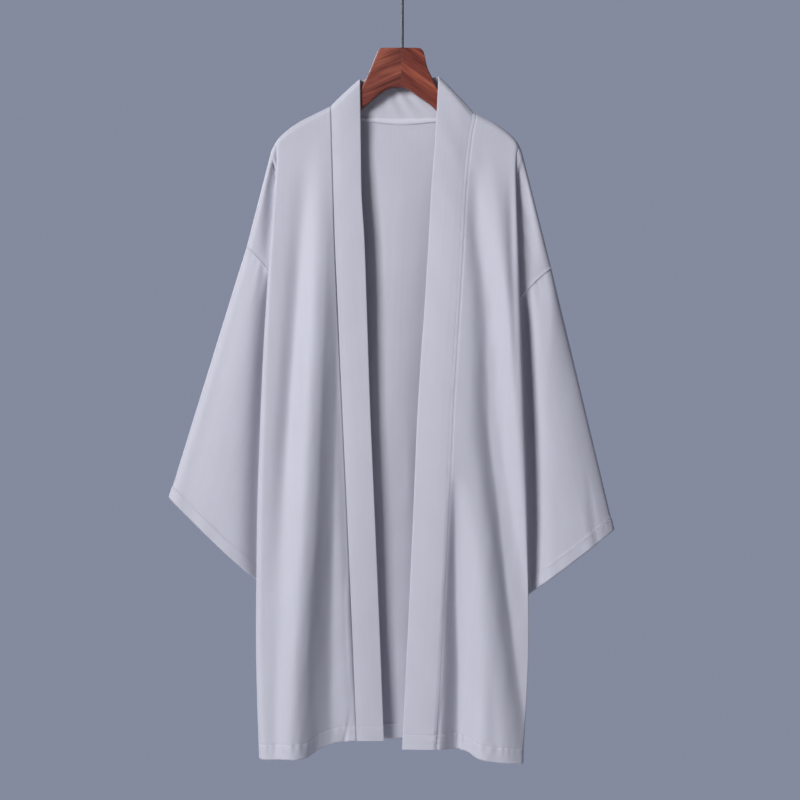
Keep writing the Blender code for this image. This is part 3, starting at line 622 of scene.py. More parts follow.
def flat_tube(share, top_edge=SLEEVE_EDGE_SHARE):
    """Share of the half thickness of a flattened tube, from its top edge (0) to its lower edge (1)."""
    return round_over(share, top_edge) * round_over(1 - share, SLEEVE_EDGE_SHARE)


def bend(start, corner, end, count):
    """Points of a soft corner, without its start."""
    shares = [i / count for i in range(1, count + 1)]
    return [mix(mix(start, corner, u), mix(corner, end, u), u) for u in shares]


def straight(start, end, count):
    return [mix(start, end, i / count) for i in range(1, count + 1)]


class Folds:
    """Soft ridges and troughs that wander along a panel, one table for each.

    The first column of a table is the place along the panel and the second the place across it. A fold can
    be wider on its outer side than on its inner side.
    """

    def __init__(self, tables, kind=FoldAt, shape=bump_at):
        self.shape = shape
        key, *columns = kind._fields
        folds = [table(kind, *rows) for rows in tables.values()]
        self.lines = [[row_line(rows, key, column) for column in columns] for rows in folds]

    def height(self, across, along):
        total = 0
        for place, width, height, outer in self.lines:
            here = place(along)
            reach = width(along) * np.where(across > here, outer(along), 1)
            total = total + height(along) * self.shape(across, here, reach)
        return total


front_depth = row_line(DEPTHS, "z", "front")
turn_depth = row_line(DEPTHS, "z", "turn")
cap_depth = row_line(DEPTHS, "z", "cap")
back_depth = row_line(DEPTHS, "z", "back")
neck_seam_z = row_line(NECK_SEAM, "x", "z")
tape_width = row_line(NECK_TAPE, "x", "width")
sleeve_depth = row_line(SLEEVE_DEPTHS, "along", "depth")
back_folds = Folds(BACK_FOLDS)


class Half:
    """One half of the jacket: the smooth lines from which its sections are worked out.

    A section runs from the band seam over the face to the outer fold, turns behind it to the inner crease,
    and from there goes out over the shoulder cap to the armhole, or meets the other panel at the side seam.
    """

    def __init__(self, cut):
        self.cut = cut
        self.sign = cut.sign
        self.shoulder_z = row_line(cut.shoulder, "out", "z")
        self.hem_z = row_line(cut.hem, "out", "z")
        self.seam = row_line(cut.levels, "z", "seam")
        self.edge = row_line(cut.levels, "z", "edge")
        self.side = row_line(cut.levels, "z", "side")
        self.band_edge = row_line(cut.levels, "z", "band_edge")
        self.crease = row_line(cut.armhole, "share", "crease")
        self.armhole = row_line(cut.armhole, "share", "seam")
        self.folds = Folds(cut.folds)
        self.falls = Folds(cut.falls, shape=slope_at)
        self.slit = row_line(cut.slit, "z", "depth")
        self.cap_folds = Folds(cut.cap_folds)
        self.sleeve_folds = {-1: Folds(cut.sleeve_front, Crease), 1: Folds(cut.sleeve_back, Crease)}
        self.edge_hem = self.hem_z(self.edge(cut.hem[-1].z))

    def relief(self, out, z):
        return self.folds.height(out, z) + self.falls.height(out, z)

    def face_point(self, face, share, t):
        """Points of the visible face, between the band seam (0) and the outer fold (1)."""
        tops = self.cut.tops
        top_z = self.shoulder_z(mix(tops.seam, tops.edge_front, share))
        if face < 0:
            hem_z = self.hem_z(mix(self.seam(self.cut.hem[0].z), self.edge(self.cut.hem[-1].z), share))
        else:
            hem_z = mix(BACK_HEM_Z, self.edge_hem, share**2)
        z = mix(top_z, hem_z, t)
        drop = top_z - z
        leave = np.maximum(0, 1 - drop / GUIDE_LEAVE) ** 2
        seam = self.seam(z) + (tops.seam - self.seam(top_z)) * leave
        edge = self.edge(z) + (tops.edge_front - self.edge(self.shoulder_z(tops.edge_front))) * leave
        if face < 0:
            out = mix(seam, edge, share)
            turned_behind = soft_step(out, self.side(z), self.side(z) + TURN_CLEARANCE_EASE)
            turned_behind = turned_behind * soft_step(-z, *TURN_CLEARANCE_DROP)
            depth = front_depth(z) + self.relief(out, z)
            depth = soft_max(depth, (turn_depth(z) + TURN_CLEARANCE) * turned_behind)
        else:
            inset = BACK_EDGE_INSET * np.minimum(1, drop / BACK_INSET_DROP)
            out = mix(tops.seam, edge - inset, share)
            depth = back_depth(z) + back_folds.height(self.sign * out, z)
        return points_of(self.sign * out, face * ridge_depth(depth, drop), z)

    def edge_behind(self, face, t):
        """Points of the outer fold's far side."""
        top_out = self.cut.tops.edge_behind
        top_z = self.shoulder_z(top_out)
        z = mix(top_z, self.edge_hem + EDGE_HEM_LIFT, t)
        drop = top_z - z
        leave = np.maximum(0, 1 - drop / GUIDE_LEAVE) ** 2
        out = self.edge(z) + (top_out - self.edge(top_z)) * leave
        if face > 0:
            out = out - BACK_EDGE_INSET * np.minimum(1, drop / BACK_INSET_DROP)
        return points_of(self.sign * out, face * ridge_depth(turn_depth(z), drop), z)

    def crease_point(self, face, name, t, depth):
        """Points of the inner crease, which runs down to the underarm and on beside the side seam."""
        top_out = getattr(self.cut.tops, name)
        top_z = self.shoulder_z(top_out)
        share = np.minimum(t / UNDERARM, 1)
        underarm_z = self.side_point(face, UNDERARM)[..., 2]
        side = self.side_point(face, np.maximum(t, UNDERARM))
        above = t < UNDERARM
        z = np.where(above, mix(top_z, underarm_z, share), side[..., 2])
        ease = (top_out - self.crease(0)) * np.maximum(0, 1 - 2 * share) ** 2
        out = np.where(above, self.crease(share) + ease, np.abs(side[..., 0]))
        slit = self.slit(z) if face < 0 and name == "crease_front" else 0
        return points_of(self.sign * out, face * ridge_depth(depth(z) - slit, top_z - z), z)

    def side_point(self, face, t):
        """Points of the armhole seam, and of the side seam below the underarm."""
        t = np.asarray(t, float)
        top_z = self.shoulder_z(self.cut.tops.side)
        z = mix(top_z, self.edge_hem + SIDE_HEM_LIFT, t)
        share = np.minimum(t / UNDERARM, 1)
        above = t < UNDERARM
        out = np.where(above, self.armhole(share), self.side(z))
        rim = np.maximum(ARMHOLE_DEPTH * flat_tube(share), RIDGE_HALF_GAP)
        return points_of(self.sign * out, face * np.where(above, rim, SIDE_HALF_GAP), z)

    def section(self, face, t):
        """The rows of a panel, each from the band seam to the armhole or side seam."""
        columns = COLUMNS[face]
        edge_front = self.face_point(face, 1.0, t)
        edge_behind = self.edge_behind(face, t)
        crease_front = self.crease_point(face, "crease_front", t, turn_depth)
        crease_behind = self.crease_point(face, "crease_behind", t, cap_depth)
        side = self.side_point(face, t)
        fold = length_of(edge_behind - edge_front) / 2
        width = length_of(edge_front - self.face_point(face, 0.0, t))
        last = (1 - fold / width)[:, 0]
        shares = np.linspace(0, 1, columns.face + 1) ** columns.crowding
        points = [self.face_point(face, last * share, t) for share in shares]
        middle = (edge_front + edge_behind) / 2
        points += bend(points[-1], edge_front, middle, columns.edge)
        inwards = crease_front - edge_behind
        turn_start = edge_behind + inwards / length_of(inwards) * fold
        points += bend(middle, edge_behind, turn_start, columns.edge)
        tuck = length_of(crease_behind - crease_front) / 2
        turn_end = crease_front - inwards / length_of(inwards) * tuck
        points += self.grooved(face, straight(turn_start, turn_end, columns.turn), free=1)
        middle = (crease_front + crease_behind) / 2
        points += bend(turn_end, crease_front, middle, columns.crease)
        cap = side - crease_behind
        cap_start = crease_behind + cap * np.minimum(CAP_BEND_LIMIT, tuck / length_of(cap))
        points += bend(middle, crease_behind, cap_start, columns.crease)
        points += self.grooved(face, straight(cap_start, side, columns.cap), free=0)
        return np.stack(points, 1)

    def grooved(self, face, points, free):
        """Columns beside the outer fold with the grooves that hang from the hanger's end.

        The last column stays where it is (free = 0) or moves like the others (1).
        """
        dressed = []
        depth_share, furthest = (1, CAP_SINK) if face < 0 else (CAP_BACK_SHARE, CLOTH)
        for i, column in enumerate(points):
            still_free = depth_share * (1 - (1 - free) * ((i + 1) / len(points)) ** 4)
            groove = self.cap_folds.height(np.abs(column[:, 0]), column[:, 2]) * still_free
            shift = np.zeros_like(column)
            shift[:, 1] = face * np.minimum(0, soft_max(groove, furthest - np.abs(column[:, 1])))
            dressed.append(column + shift)
        return dressed


def panel_rows():
    """Shares of the way from the shoulder line to the hem, closer together at the ridge and the hem."""
    ridge = [RIDGE_ROWS_SHARE * (i / RIDGE_ROWS) ** 2 for i in range(RIDGE_ROWS)]
    body = np.linspace(RIDGE_ROWS_SHARE, 1 - HEM_ROWS_SHARE, PANEL_ROWS, endpoint=False)
    hem = np.linspace(1 - HEM_ROWS_SHARE, 1, HEM_ROWS + 1)
    return np.concatenate([ridge, body, hem])


def neck_point(right, left, share, t):
    """Points of the back below the neck seam; the seam itself is t = 0."""
    start, end = -right.cut.tops.seam, left.cut.tops.seam
    x = mix(start, end, share)
    top_z = neck_seam_z(x)
    ridges = []
    for cut in (right.cut, left.cut):
        ridges.append(cut.shoulder[0].z + SHOULDER_RISE_TO_NECK * (cut.tops.seam - np.abs(x)))
    z = mix(top_z, BACK_HEM_Z, t)
    depth = ridge_depth(back_depth(z) + back_folds.height(x, z), np.where(x < 0, *ridges) - z)
    return points_of(x, depth, z)


def back_grid(right, left, rows):
    shares = crowded(NECK_COLUMNS, NECK_CROWDING)[1:-1]
    middle = [neck_point(right, left, share, rows) for share in shares]
    return np.concatenate([right.section(1, rows)[:, ::-1], np.stack(middle, 1), left.section(1, rows)], 1)


def band_front_edge(half, t):
    """Points of the band's free edge in front."""
    top = half.cut.band_top
    z = mix(top.z, half.cut.hem[0].z, t)
    edge = half.cut.band_proud
    proud = mix(edge.top, edge.below, soft_step(top.z - z, edge.start, edge.end))
    sunk = BAND_FOLLOWS_SEAM * half.relief(half.seam(z), z)
    depth = (front_depth(z) + proud + sunk) * round_over(top.z - z, RIDGE_RADIUS)
    return points_of(half.sign * half.band_edge(z), -depth, z)


def band_neck_edge(right, left, share):
    """Points of the band's free edge behind the hanger's head."""
    x = mix(-right.cut.band_top.out, left.cut.band_top.out, share)
    depth = BAND_NECK_DEPTH * (2 * np.sqrt(share * (1 - share))) ** BAND_NECK_POWER
    return points_of(x, depth, mix(right.cut.band_top.z, left.cut.band_top.z, share))


def band_lines(right, left, rows):
    """The band's seam and free edge, from the right hem over the neck to the left hem."""
    shares = crowded(NECK_COLUMNS, NECK_CROWDING)
    down, up = rows[1:], rows[:0:-1]
    neck = neck_point(right, left, shares, 0.0)
    seam = [right.face_point(-1, 0.0, up), neck, left.face_point(-1, 0.0, down)]
    edge = [band_front_edge(right, up), band_neck_edge(right, left, shares), band_front_edge(left, down)]
    return np.concatenate(seam), np.concatenate(edge)


def sleeve_grid(half):
    """Rings of a sleeve from armhole to cuff, down its front and up its back, and the armhole's own."""
    cut = half.cut
    tip = np.array([cut.cuff_tip.out, cut.cuff_tip.z])
    end = np.array([cut.cuff_end.out, cut.cuff_end.z])
    slope = end - tip
    fall = np.array([slope[1], -slope[0]]) / np.linalg.norm(slope)
    fall *= -np.sign(fall[1])
    down = crowded(SLEEVE_SIDE_COLUMNS, SLEEVE_SIDE_CROWDING)
    body = np.linspace(0, 1, SLEEVE_ROWS, endpoint=False) ** SLEEVE_ROWS_CROWDING
    body = mix(SLEEVE_START, 1 - CUFF_ROWS_SHARE, body)
    along = np.concatenate([body, np.linspace(1 - CUFF_ROWS_SHARE, 1, CUFF_ROWS + 1)])[:, None]
    sides, seam = [], []
    for face, share in ((-1, down), (1, down[-2:0:-1])):
        start = half.side_point(face, share * UNDERARM)
        start_out = np.abs(start[:, 0]) + UNDERARM_CLEARANCE * share**UNDERARM_EASE_POWER
        bow = cut.cuff_bow * np.sin(math.pi * share)
        out = mix(start_out, mix(tip[0], end[0], share) + fall[0] * bow, along)
        z = mix(start[:, 2], mix(tip[1], end[1], share) + fall[1] * bow, along)
        full = sleeve_depth(along) + half.sleeve_folds[face].height(share, along)
        top_edge = SLEEVE_EDGE_SHARE
        if face < 0:
            top_edge = mix(top_edge, cut.sleeve_edge, soft_step(along, *SLEEVE_EDGE_EASE))
        depth = soft_max(full, SLEEVE_SINK) * flat_tube(share, top_edge)
        sides.append(points_of(half.sign * out, face * depth, z))
        seam.append(points_of(half.sign * start_out, start[:, 1], start[:, 2]))
    return np.concatenate(sides, 1), np.concatenate(seam)


def walked(grid, axis):
    """Distance walked along the columns (axis 0) or rows (axis 1) of a grid of points."""
    steps = length_of(np.diff(grid, axis=axis))[..., 0]
    start = np.zeros_like(np.take(steps, [0], axis))
    return np.concatenate([start, np.cumsum(steps, axis)], axis)


def facing(grid, ring=False):
    """Unit directions square to a grid of points."""
    down = np.gradient(grid, axis=0)
    across = (np.roll(grid, -1, 1) - np.roll(grid, 1, 1)) if ring else np.gradient(grid, axis=1)
    square = np.cross(down, across)
    return square / np.maximum(length_of(square), LEAST_LENGTH)


def hem_relief(across, above_edge, turn_up, wander):
    """How a turned-up hem stands out: a waved edge, a sewn line that pulls in and puckers beside it."""
    edge_wave = rippled(HEM_WAVE, across, wander, above_edge)
    pucker = rippled(HEM_PUCKER, across, wander + 1, above_edge, turn_up * HEM_PUCKER_SHARE)
    return edge_wave + pucker - pressed(HEM_LINE, above_edge, turn_up)


def hem_ripple(across, above_edge, wander):
    """How far a hem's edge rises and dips along its run."""
    fine = rippled(HEM_FINE_RISE, across, wander + 4, above_edge)
    return fine + rippled(HEM_SLOW_RISE, across, wander + 6, above_edge)


def slack(across, along, wander):
    """Slight unevenness of hanging cloth."""
    total = 0
    for kind, first, second in ((SLOW_SLACK, wander, 2 * wander), (QUICK_SLACK, 3 * wander, wander + 2)):
        wide = uneven_wave(across + kind.slant * along, kind.width, first)
        total = total + kind.height * (wide * uneven_wave(along - kind.lean * across, kind.length, second))
    return total


def turned_up(grid, outward, inside, ring):
    """The grid with its last rows folded to the inside and brought up behind it, thinner by a side seam."""
    inward = np.full(grid.shape[:2], CLOTH * TURN_UP_GAP)
    if not ring:
        inward = np.minimum(inward, TURN_UP_ROOM * np.abs(grid[..., 1]))
    behind = grid - outward * inward[..., None]
    fold = (grid[-1] + behind[-1]) / 2
    fold[:, 2] -= CLOTH * TURN_UP_DROP
    return np.concatenate([grid, fold[None], behind[inside][-2::-1]])


def run_at(grid, distance, where):
    """The line across a grid on which each column has walked this far."""
    line = np.empty((grid.shape[1], 3))
    for j in range(grid.shape[1]):
        order = np.argsort(distance[:, j])
        for k in range(3):
            line[j, k] = np.interp(where, distance[order, j], grid[order, j, k])
    return line


class Cloth:
    """One dressed panel: its points, the way it faces and the runs of sewing on it."""

    def __init__(self, grid, outward, above_edge, cut):
        self.grid = grid
        self.outward = outward
        self.above_edge = above_edge
        self.cut = cut

    def sewing(self, where, side=1):
        """A run of sewing this far above the hem or cuff, on the outer (1) or inner (-1) side."""
        run = run_at(self.grid, self.above_edge, where)
        away = run_at(self.outward, self.above_edge, where)
        lift = CLOTH / 2 if side > 0 else -CLOTH * (TURN_UP_GAP + 0.5)
        return run + away * lift, away * side

    def topstitching(self, where):
        """A run of sewing this far out from the band seam."""
        across = self.cut[..., 0].T
        run = run_at(self.grid.transpose(1, 0, 2), across, where)
        away = run_at(self.outward.transpose(1, 0, 2), across, where)
        return run + away * CLOTH / 2, away


def hung_relief(across, fallen, to_side, wander, hem_wander):
    """What the fronts and the back have in common: slack cloth, a turned-up hem and side seams."""
    free_of_ridge = soft_step(fallen, *BELOW_RIDGE)
    relief = slack(across, fallen, wander) * free_of_ridge * soft_step(to_side, *SEAM_EASE)
    relief += hem_relief(across, fallen[-1] - fallen, HEM_TURN_UP, hem_wander)
    return relief - pressed(SIDE_SEAM_DIP, to_side) * free_of_ridge


def hung_cloth(grid, outward, relief, across, fallen, hem_wander):
    """A front or the back, with its relief and the ripple of its hem."""
    above_hem = fallen[-1] - fallen
    dressed = grid + outward * relief[..., None]
    dressed[..., 2] += hem_ripple(across, above_hem, hem_wander)
    return Cloth(dressed, outward, above_hem, np.stack([across, above_hem], -1))


def dress_front(half, rows):
    grid = half.section(-1, rows)
    across = walked(grid, 1)
    fallen = walked(grid, 0)
    wander = FRONT_WANDER[half.sign]
    free_of_ridge = soft_step(fallen, *BELOW_RIDGE)
    relief = hung_relief(across, fallen, across[:, -1:] - across, wander, wander)
    relief -= pressed(half.cut.seam_dip, across)
    relief += rippled(SEAM_PUCKER, fallen, wander, across, SEAM_PUCKER_OUT) * free_of_ridge
    if half.sign > 0:
        relief -= pressed(TOPSTITCH_DIP, across, TOPSTITCH_OUT)
        pucker = rippled(TOPSTITCH_PUCKER, fallen, TOPSTITCH_WANDER, across, TOPSTITCH_OUT)
        relief += pucker * free_of_ridge
    return hung_cloth(grid, facing(grid) * half.sign, relief, across, fallen, wander)


def dress_back(right, left, rows):
    grid = back_grid(right, left, rows)
    across = walked(grid, 1)
    across = across - across[:, -1:] / 2
    fallen = walked(grid, 0)
    to_side = np.abs(across[:, -1:]) - np.abs(across)
    relief = hung_relief(across, fallen, to_side, BACK_WANDER, BACK_HEM_WANDER)
    return hung_cloth(grid, -facing(grid), relief, across, fallen, BACK_HEM_WANDER)


def dress_sleeve(half):
    grid, seam = sleeve_grid(half)
    outward = facing(grid, ring=True) * half.sign
    across = walked(grid, 1)
    fallen = walked(grid, 0)
    above_cuff = fallen[-1] - fallen
    wander = SLEEVE_WANDER[half.sign]
    relief = slack(across, fallen, wander) * soft_step(fallen, *SEAM_EASE)
    relief += hem_relief(across, above_cuff, CUFF_TURN_UP, wander)
    relief -= pressed(ARMHOLE_DIP, fallen)
    relief += rippled(ARMHOLE_PUCKER, across, wander, fallen, ARMHOLE_PUCKER_DROP)
    thin = np.minimum(1, np.abs(grid[..., 1]) / SLEEVE_THIN)
    dressed = np.concatenate([seam[None], grid + outward * (relief * thin)[..., None]])
    outward = np.concatenate([outward[:1], outward])
    across = np.concatenate([across[:1], across])
    above_cuff = np.concatenate([above_cuff[:1] + ARMHOLE_DIP.depth, above_cuff])
    return Cloth(dressed, outward, above_cuff, np.stack([across, above_cuff], -1))


def band_grid(right, left, rows):
    """The doubled band: over its outer side from seam to free edge, round the fold and back inside."""
    seam, edge = band_lines(right, left, rows)
    across = edge - seam
    along = np.gradient(seam + edge, axis=0)
    outward = np.cross(across, along)
    outward /= length_of(outward)
    run = walked(((seam + edge) / 2)[:, None], 0)[:, 0]
    to_hem = np.minimum(run, run[-1] - run)
    from_neck = run - run[len(rows) + NECK_COLUMNS // 2]
    at_neck = bump_at(from_neck, 0, NECK_WRINKLE.reach)
    at_left_shoulder = bump_at(run, run[len(rows) + NECK_COLUMNS], BAND_GATHER_REACH)
    wide = length_of(across)
    start = BAND_SEAM_GAP / wide
    grid, cut = [], []
    shares = list(np.sin(np.linspace(0, math.pi / 2, BAND_COLUMNS + 1)))
    for side, u in [(1, share) for share in shares] + [(-1, share) for share in shares[::-1]]:
        u_here = mix(start, 1, u)
        swell = mix(BAND_SEAM_FULLNESS, 1, round_over(1 - u, BAND_FOLD_SHARE) * soft_step(u, *BAND_SWELL))
        arch = math.sin(math.pi * u)
        turns = 2 * math.pi * (from_neck + NECK_WRINKLE_SLANT * wide[:, 0] * u) / NECK_WRINKLE.pitch
        crown = BAND_CROWN * 4 * u * (1 - u) + wave_along(BAND_WAVE, run + BAND_WAVE_SLANT * u) * arch
        crown += wave_along(BAND_PUCKER, run) * bump_at(u, *BAND_PUCKER_AT)
        crown += wave_along(BAND_GATHER, run) * at_left_shoulder * bump_at(u, *BAND_GATHER_AT)
        crown += NECK_WRINKLE.height * np.sin(turns) * at_neck * arch
        crown -= pressed(BAND_HEM_LINE, to_hem, HEM_TURN_UP)
        lift = crown[:, None] + side * swell * BAND_CLOTH / 2
        grid.append(seam + across * u_here + outward * lift)
        cut.append(np.stack([(wide[:, 0] * u) * side, run], -1))
    return np.stack(grid, 1), np.stack(cut, 1)


def band_sewing(grid, cut):
    """The runs of sewing across the band above its two hems."""
    outer = grid[:, 1:BAND_COLUMNS]
    along = np.broadcast_to(cut[:, :1, 1], outer.shape[:2])
    runs = []
    for where in (HEM_TURN_UP, cut[-1, 0, 1] - HEM_TURN_UP):
        run = run_at(outer, along, where)
        runs.append((run, np.broadcast_to(FORWARD, run.shape)))
    return runs


def tape_grid(right, left):
    """The narrow tape that covers the neck seam inside the back."""
    shares = np.linspace(*TAPE_ENDS, TAPE_COLUMNS)
    top = neck_point(right, left, shares, 0.0)
    hang = neck_seam_z(top[:, 0]) - BACK_HEM_Z
    rows = []
    for drop in np.linspace(-TAPE_ABOVE_SEAM, 1, TAPE_ROWS):
        t = tape_width(top[:, 0]) * drop / hang
        point = neck_point(right, left, shares, t)
        raised = TAPE_LIFT * float(soft_step(drop, -TAPE_ABOVE_SEAM, TAPE_LIFT_END))
        raised += TAPE_CROWN * math.sin(math.pi * max(drop, 0)) ** TAPE_CROWN_POWER
        point[:, 1] -= raised + wave_along(TAPE_PUCKER, top[:, 0]) * drop
        rows.append(point)
    return np.stack(rows)


def panel_mesh(name, grid, cut, ring=False, capped=False):
    """A mesh through a grid of points, with the cloth's flat measures as its map."""
    rows, columns = grid.shape[:2]
    last = columns if ring else columns - 1
    i, j = (index.ravel() for index in np.meshgrid(np.arange(rows - 1), np.arange(last), indexing="ij"))
    k = (j + 1) % columns
    corners = [i * columns + j, (i + 1) * columns + j, (i + 1) * columns + k, i * columns + k]
    faces = np.stack(corners, 1).tolist()
    if capped:
        half = columns // 2
        for row, flip in ((0, 1), (rows - 1, -1)):
            for c in range(half - 1):
                quad = [row * columns + p for p in (c, c + 1, columns - 2 - c, columns - 1 - c)]
                faces.append(quad[::flip])
    mesh = bpy.data.meshes.new(name)
    mesh.from_pydata(grid.reshape(-1, 3).tolist(), [], faces)
    measures = mesh.uv_layers.new(name="cut")
    corner_points = np.empty(len(mesh.loops), int)
    mesh.loops.foreach_get("vertex_index", corner_points)
    measures.data.foreach_set("uv", cut.reshape(-1, 2)[corner_points].ravel())
    mesh.shade_smooth()
    ends = np.empty(2 * len(mesh.edges), int)
    mesh.edges.foreach_get("vertices", ends)
    row, column = np.divmod(ends.reshape(-1, 2), columns)
    along_row = (row[:, 0] == row[:, 1]) & np.isin(row[:, 0], (0, rows - 1))
    along_column = (column[:, 0] == column[:, 1]) & np.isin(column[:, 0], (0, columns - 1))
    mesh.edges.foreach_set("use_edge_sharp", along_row | (along_column & (capped or not ring)))
    return mesh


def add_piece(name, data, finish, nodes=()):
    piece = bpy.data.objects.new(name, data)
    data.materials.append(finish)
    bpy.context.scene.collection.objects.link(piece)
    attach(piece, "root")
    if nodes:
        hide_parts(*nodes)
    return piece


def thicken(piece, wall):
    modifier = piece.modifiers.new("cloth", "SOLIDIFY")
    modifier.thickness = wall
    modifier.offset = 0


def add_cloth(name, cloth, turn_up, finish, ring=False):
    """A panel with its edge turned up, thickened to both sides."""
    inside = cloth.above_edge.mean(1) <= turn_up
    grid = turned_up(cloth.grid, cloth.outward, inside, ring)
    cut = np.concatenate([cloth.cut, cloth.cut[-1:], cloth.cut[inside][-2::-1]])
    piece = add_piece(name + "_cloth", panel_mesh(name, grid, cut, ring), finish, [name])
    thicken(piece, CLOTH)
    return piece


def stitches_along(run, away):
    """Centres, headings and outward directions of the stitches along a run of sewing."""
    steps = np.concatenate([[0], np.cumsum(np.linalg.norm(np.diff(run, axis=0), axis=1))])
    places = np.arange(STITCH_PITCH, steps[-1] - STITCH_PITCH, STITCH_PITCH)

    def at(values, where):
        return np.stack([np.interp(where, steps, values[:, k]) for k in range(3)], 1)

    heading = at(run, places + STITCH_LENGTH / 2) - at(run, places - STITCH_LENGTH / 2)
    outward = at(away, places)
    return at(run, places), heading / length_of(heading), outward / length_of(outward)


def stitch_mesh(name, runs):
    """Short threads that rise out of the cloth and go back into it."""
    stitches = [stitches_along(*run) for run in runs]
    centre, heading, outward = (np.concatenate(parts) for parts in zip(*stitches))
    side = np.cross(heading, outward)
    corners = []
    for section in THREAD:
        rise = outward * (section.rise * THREAD_RADIUS)
        middle = centre + heading * (section.place * STITCH_LENGTH) + rise
        for across, up in THREAD_SIDES:
            corners.append(middle + (side * across + outward * up) * (THREAD_RADIUS * section.thick))
    points = np.stack(corners, 1)
    around = len(THREAD_SIDES)
    last = len(corners) - around
    one = []
    for start in range(0, last, around):
        for a in range(around):
            b = (a + 1) % around
            one.append((start + a, start + b, start + around + b, start + around + a))
    one += [tuple(reversed(range(around))), tuple(range(last, len(corners)))]
    starts = len(corners) * np.arange(len(points))
    faces = (np.array(one) + starts[:, None, None]).reshape(-1, around)
    mesh = bpy.data.meshes.new(name)
    mesh.from_pydata(points.reshape(-1, 3).tolist(), [], faces.tolist())
    mesh.shade_smooth()
    return mesh


def board_grid(half):
    """Sections of one wooden half, from the glued joint to the rounded end of the arm."""
    cut = half.cut
    rows = [cut.board[0]._replace(out=cut.board[0].out + JOINT_HALF_GAP), *cut.board[1:]]
    start = rows[-1]
    for out in np.linspace(cut.tops.seam, cut.arm_end - ARM_END_LEAD, ARM_ROWS):
        along = (out - start.out) / (cut.arm_end - start.out)
        top = float(half.shoulder_z(out)) - ARM_CLEARANCE
        height = (start.top - start.bottom) * mix(1, ARM_END_HEIGHT_SHARE, along)
        rows.append(Board(out, top, top - height, start.round))
    last = rows[-1]
    for end in ARM_END:
        out = cut.arm_end - end.inward
        top = float(half.shoulder_z(out)) - ARM_CLEARANCE - end.trim
        bottom = last.bottom - (out - last.out) * ARM_END_SLOPE + end.trim
        rows.append(Board(out, top, bottom, last.round * end.round_share))
    joint = rows[0].out + JOINT_BEVEL * np.linspace(0, 1, JOINT_ROWS, endpoint=False)
    arm = np.linspace(rows[0].out + JOINT_BEVEL, last.out, BOARD_ROWS, endpoint=False)
    end = mix(last.out, cut.arm_end, np.sin(np.linspace(0, math.pi / 2, ARM_END_ROWS)))
    outs = np.concatenate([joint, arm, end])
    pared = JOINT_BEVEL * (1 - round_over(outs - outs[0], JOINT_BEVEL))
    corner = row_line(rows, "out", "round")(outs)
    top = row_line(rows, "out", "top")(outs) - pared
    bottom = row_line(rows, "out", "bottom")(outs) + pared
    across = HANGER_HALF_THICKNESS - HANGER_END_THINNING * (outs / cut.arm_end) ** 2 - corner - pared
    ring = []
    for quarter in range(4):
        side_y = across if quarter in (0, 3) else -across
        side_z = top - corner if quarter in (0, 1) else bottom + corner
        for step in range(BOARD_CORNER_STEPS + 1):
            angle = math.radians(90 * (quarter + step / BOARD_CORNER_STEPS))
            y = side_y + corner * math.cos(angle)
            ring.append(points_of(half.sign * outs, y, side_z + corner * math.sin(angle)))
    sides = []
    for here, following in zip(ring, ring[1:] + ring[:1]):
        sides.append(here)
        if np.max(length_of(following - here)) > FLAT_LENGTH:
            sides += [mix(here, following, share) for share in FLAT_SHARES]
    return np.stack(sides, 1)


def board_mesh(name, half):
    grid = board_grid(half)
    rows, columns = grid.shape[:2]
    mesh = panel_mesh(name, grid, np.zeros((rows, columns, 2)), ring=True)
    caps = bmesh.new()
    caps.from_mesh(mesh)
    caps.verts.ensure_lookup_table()
    caps.faces.new([caps.verts[j] for j in range(columns)])
    caps.faces.new([caps.verts[(rows - 1) * columns + j] for j in reversed(range(columns))])
    bmesh.ops.recalc_face_normals(caps, faces=caps.faces)
    caps.to_mesh(mesh)
    caps.free()
    mesh.shade_smooth()
    return mesh


def hook_curve():
    """The bent wire: straight out of the wood, a sweep to the side and an open round."""
    round_z = WIRE_RADIUS - HOOK_RADIUS
    angles = np.radians(np.linspace(HOOK_START_DEGREES, HOOK_END_DEGREES, HOOK_ARC_STEPS + 1))
    arc = points_of(HOOK_RADIUS * np.cos(angles), 0, round_z + HOOK_RADIUS * np.sin(angles))
    foot = np.array([0, 0, HEAD_TOP_Z - SHANK_IN_WOOD])
    first = np.array([0, 0, SHANK_TOP_Z])
    second = first + np.array([0, 0, (arc[0, 2] - SHANK_TOP_Z) * HOOK_SWEEP_LIFT_SHARE])
    third = arc[0] + np.array([math.sin(angles[0]), 0, -math.cos(angles[0])]) * HOOK_SWEEP_REACH
    sweep = []
    for u in np.linspace(0, 1, HOOK_SWEEP_STEPS, endpoint=False):
        early = mix(mix(first, second, u), mix(second, third, u), u)
        late = mix(mix(second, third, u), mix(third, arc[0], u), u)
        sweep.append(mix(early, late, u))
    heading = arc[-1] - arc[-2]
    heading = heading / np.linalg.norm(heading)
    tip_angles = np.linspace(0, math.pi / 2, HOOK_TIP_STEPS)[1:]
    tip = [arc[-1] + heading * WIRE_RADIUS * math.sin(angle) for angle in tip_angles]
    points = [foot, *sweep, *arc, *tip]
    thickness = [1] * (len(points) - len(tip))
    thickness += [max(math.cos(angle), HOOK_TIP_LEAST) for angle in tip_angles]
    curve = bpy.data.curves.new("hook wire", "CURVE")
    curve.dimensions = "3D"
    curve.bevel_depth = WIRE_RADIUS
    curve.bevel_resolution = HOOK_ROUND_STEPS
    curve.use_fill_caps = True
    spline = curve.splines.new("POLY")
    spline.points.add(len(points) - 1)
    for point, place, thick in zip(spline.points, points, thickness):
        point.co = (*place, 1)
        point.radius = thick
    spline.use_smooth = True
    return curve


